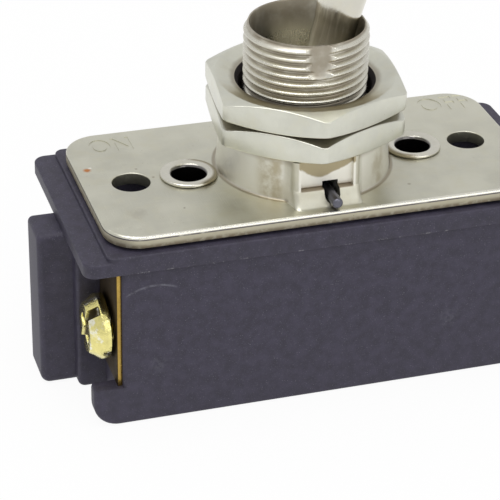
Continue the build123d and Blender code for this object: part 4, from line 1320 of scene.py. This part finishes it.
class SWITCH_OT_stage(BuildOperator):
    """Pale floor, soft lamps, surround and camera"""

    bl_idname = "switch.stage"
    bl_label = "Stage"

    def execute(self, context):
        s, scene = context.scene.switch_stage, context.scene
        self.camera(s, scene)
        self.floor(s)
        self.world(s, scene)
        self.lamp("key_lamp", s, s.key_place, s.key)
        self.lamp("fill_lamp", s, s.fill_place, s.fill)
        scene.view_settings.view_transform = "Standard"
        return {"FINISHED"}

    def camera(self, s, scene):
        """Camera that looks along its yaw and its slope, then rolls."""
        yaw, down, roll = s.camera_yaw, s.camera_down, s.camera_roll
        ahead = Vector((math.sin(yaw) * math.cos(down), math.cos(yaw) * math.cos(down), -math.sin(down)))
        right = Vector((math.cos(yaw), -math.sin(yaw), 0))
        up = right.cross(ahead)
        x = right * math.cos(roll) + up * math.sin(roll)
        y = up * math.cos(roll) - right * math.sin(roll)
        data = bpy.data.cameras.new("camera")
        data.lens, data.sensor_width = s.lens, 36
        data.clip_start, data.clip_end = 0.005, 10
        holder = bpy.data.objects.new("camera", data)
        turned = Matrix((x, y, -ahead)).transposed().to_4x4()
        holder.matrix_world = Matrix.Translation(s.camera_place) @ turned
        scene.collection.objects.link(holder)
        scene.camera = holder

    def floor(self, s):
        """Pale floor that the camera sees nearly white, with the object's shadow on it."""
        span = np.linspace(-s.floor_half, s.floor_half, 9) / UNIT
        x, y = np.meshgrid(span, span)
        points = np.stack([x, y, 0 * x], -1).reshape(-1, 3)
        piece = mesh_piece("floor", [(points, grid_quads(9, 9, wrap=False))])
        f = Finish("floor_paper", s.floor, Specular_IOR_Level=0.2)
        clouds = f.blend(f.noise(0.02, 2) * 0.04, tuple(s.floor), shade(s.floor, 0.95))
        f.done(clouds, 0.9, f.noise(1.5, 2), depth=0.01)
        kinds = ("Is Camera Ray", "Is Glossy Ray", "Is Transmission Ray")
        camera, glossy, through = (f.add("ShaderNodeLightPath", {}, out=kind) for kind in kinds)
        shown = camera.most(glossy).most(through) * s.floor_white
        glow = f.add("ShaderNodeEmission", {"Color": (1, 1, 1, 1), "Strength": 1.0})
        paper = Wire(f, f.shader.outputs[0])
        f.show("Material Output", f.add("ShaderNodeMixShader", {0: shown, 1: paper, 2: glow}))
        piece.data.materials.append(f.material)

    def world(self, s, scene):
        """Soft light all round, which the camera sees as plain white."""
        scene.world = bpy.data.worlds.new("surround")
        graph, white = Graph(scene.world), (1, 1, 1, 1)
        light, shown = (
            graph.add("ShaderNodeBackground", {"Color": white, "Strength": strength})
            for strength in (s.world, 1.0)
        )
        camera = graph.add("ShaderNodeLightPath", {}, out="Is Camera Ray")
        graph.show("World Output", graph.add("ShaderNodeMixShader", {0: camera, 1: light, 2: shown}))

    def lamp(self, name, s, place_at, watts):
        """Square soft box that faces the lamps' aim."""
        data = bpy.data.lights.new(name, "AREA")
        data.shape, data.size, data.energy = "SQUARE", s.lamp_size, watts
        holder = bpy.data.objects.new(name, data)
        holder.location = place_at
        holder.rotation_euler = (Vector(s.lamp_aim) - Vector(place_at)).to_track_quat("-Z", "Y").to_euler()
        bpy.context.scene.collection.objects.link(holder)


class SWITCH_PT_panel(bpy.types.Panel):
    """Lists the switch's sizes, finishes and build steps"""

    bl_idname = "SWITCH_PT_panel"
    bl_label = "Toggle switch"
    bl_space_type = "VIEW_3D"
    bl_region_type = "UI"
    bl_category = "Toggle switch"

    def draw(self, context):
        for name, (group, title) in GROUPS.items():
            box = self.layout.box()
            box.label(text=title)
            holder = getattr(context.scene, name)
            for key in group.__annotations__:
                box.prop(holder, key)
        for operator in OPERATORS:
            self.layout.operator(operator.bl_idname)


GROUPS = {
    "switch_plate": (PlateSizes, "Mounting plate"),
    "switch_bushing": (BushingSizes, "Bushing"),
    "switch_nuts": (NutSizes, "Nuts"),
    "switch_eyelets": (EyeletSizes, "Eyelets"),
    "switch_lever": (LeverSizes, "Lever"),
    "switch_screws": (ScrewSizes, "Screws"),
    "switch_finishes": (Finishes, "Finishes"),
    "switch_stage": (StageSizes, "Stage"),
}
OPERATORS = [
    SWITCH_OT_stage,
    SWITCH_OT_mouldings,
    SWITCH_OT_plate,
    SWITCH_OT_bushing,
    SWITCH_OT_nuts,
    SWITCH_OT_eyelets,
    SWITCH_OT_lever,
    SWITCH_OT_terminals,
    SWITCH_OT_inner_pieces,
]


def register():
    """Adds the classes and the scene's settings."""
    for group, _ in GROUPS.values():
        bpy.utils.register_class(group)
    for operator in OPERATORS:
        bpy.utils.register_class(operator)
    bpy.utils.register_class(SWITCH_PT_panel)
    for name, (group, _) in GROUPS.items():
        setattr(bpy.types.Scene, name, PointerProperty(type=group))


def unregister():
    """Takes the settings and classes away again."""
    for name in GROUPS:
        delattr(bpy.types.Scene, name)
    bpy.utils.unregister_class(SWITCH_PT_panel)
    for operator in reversed(OPERATORS):
        bpy.utils.unregister_class(operator)
    for group, _ in GROUPS.values():
        bpy.utils.unregister_class(group)


def main():
    register()
    for operator in OPERATORS:
        family, step = operator.bl_idname.split(".")
        getattr(getattr(bpy.ops, family), step)()
    bpy.context.view_layer.update()


if __name__ == "__main__":
    main()
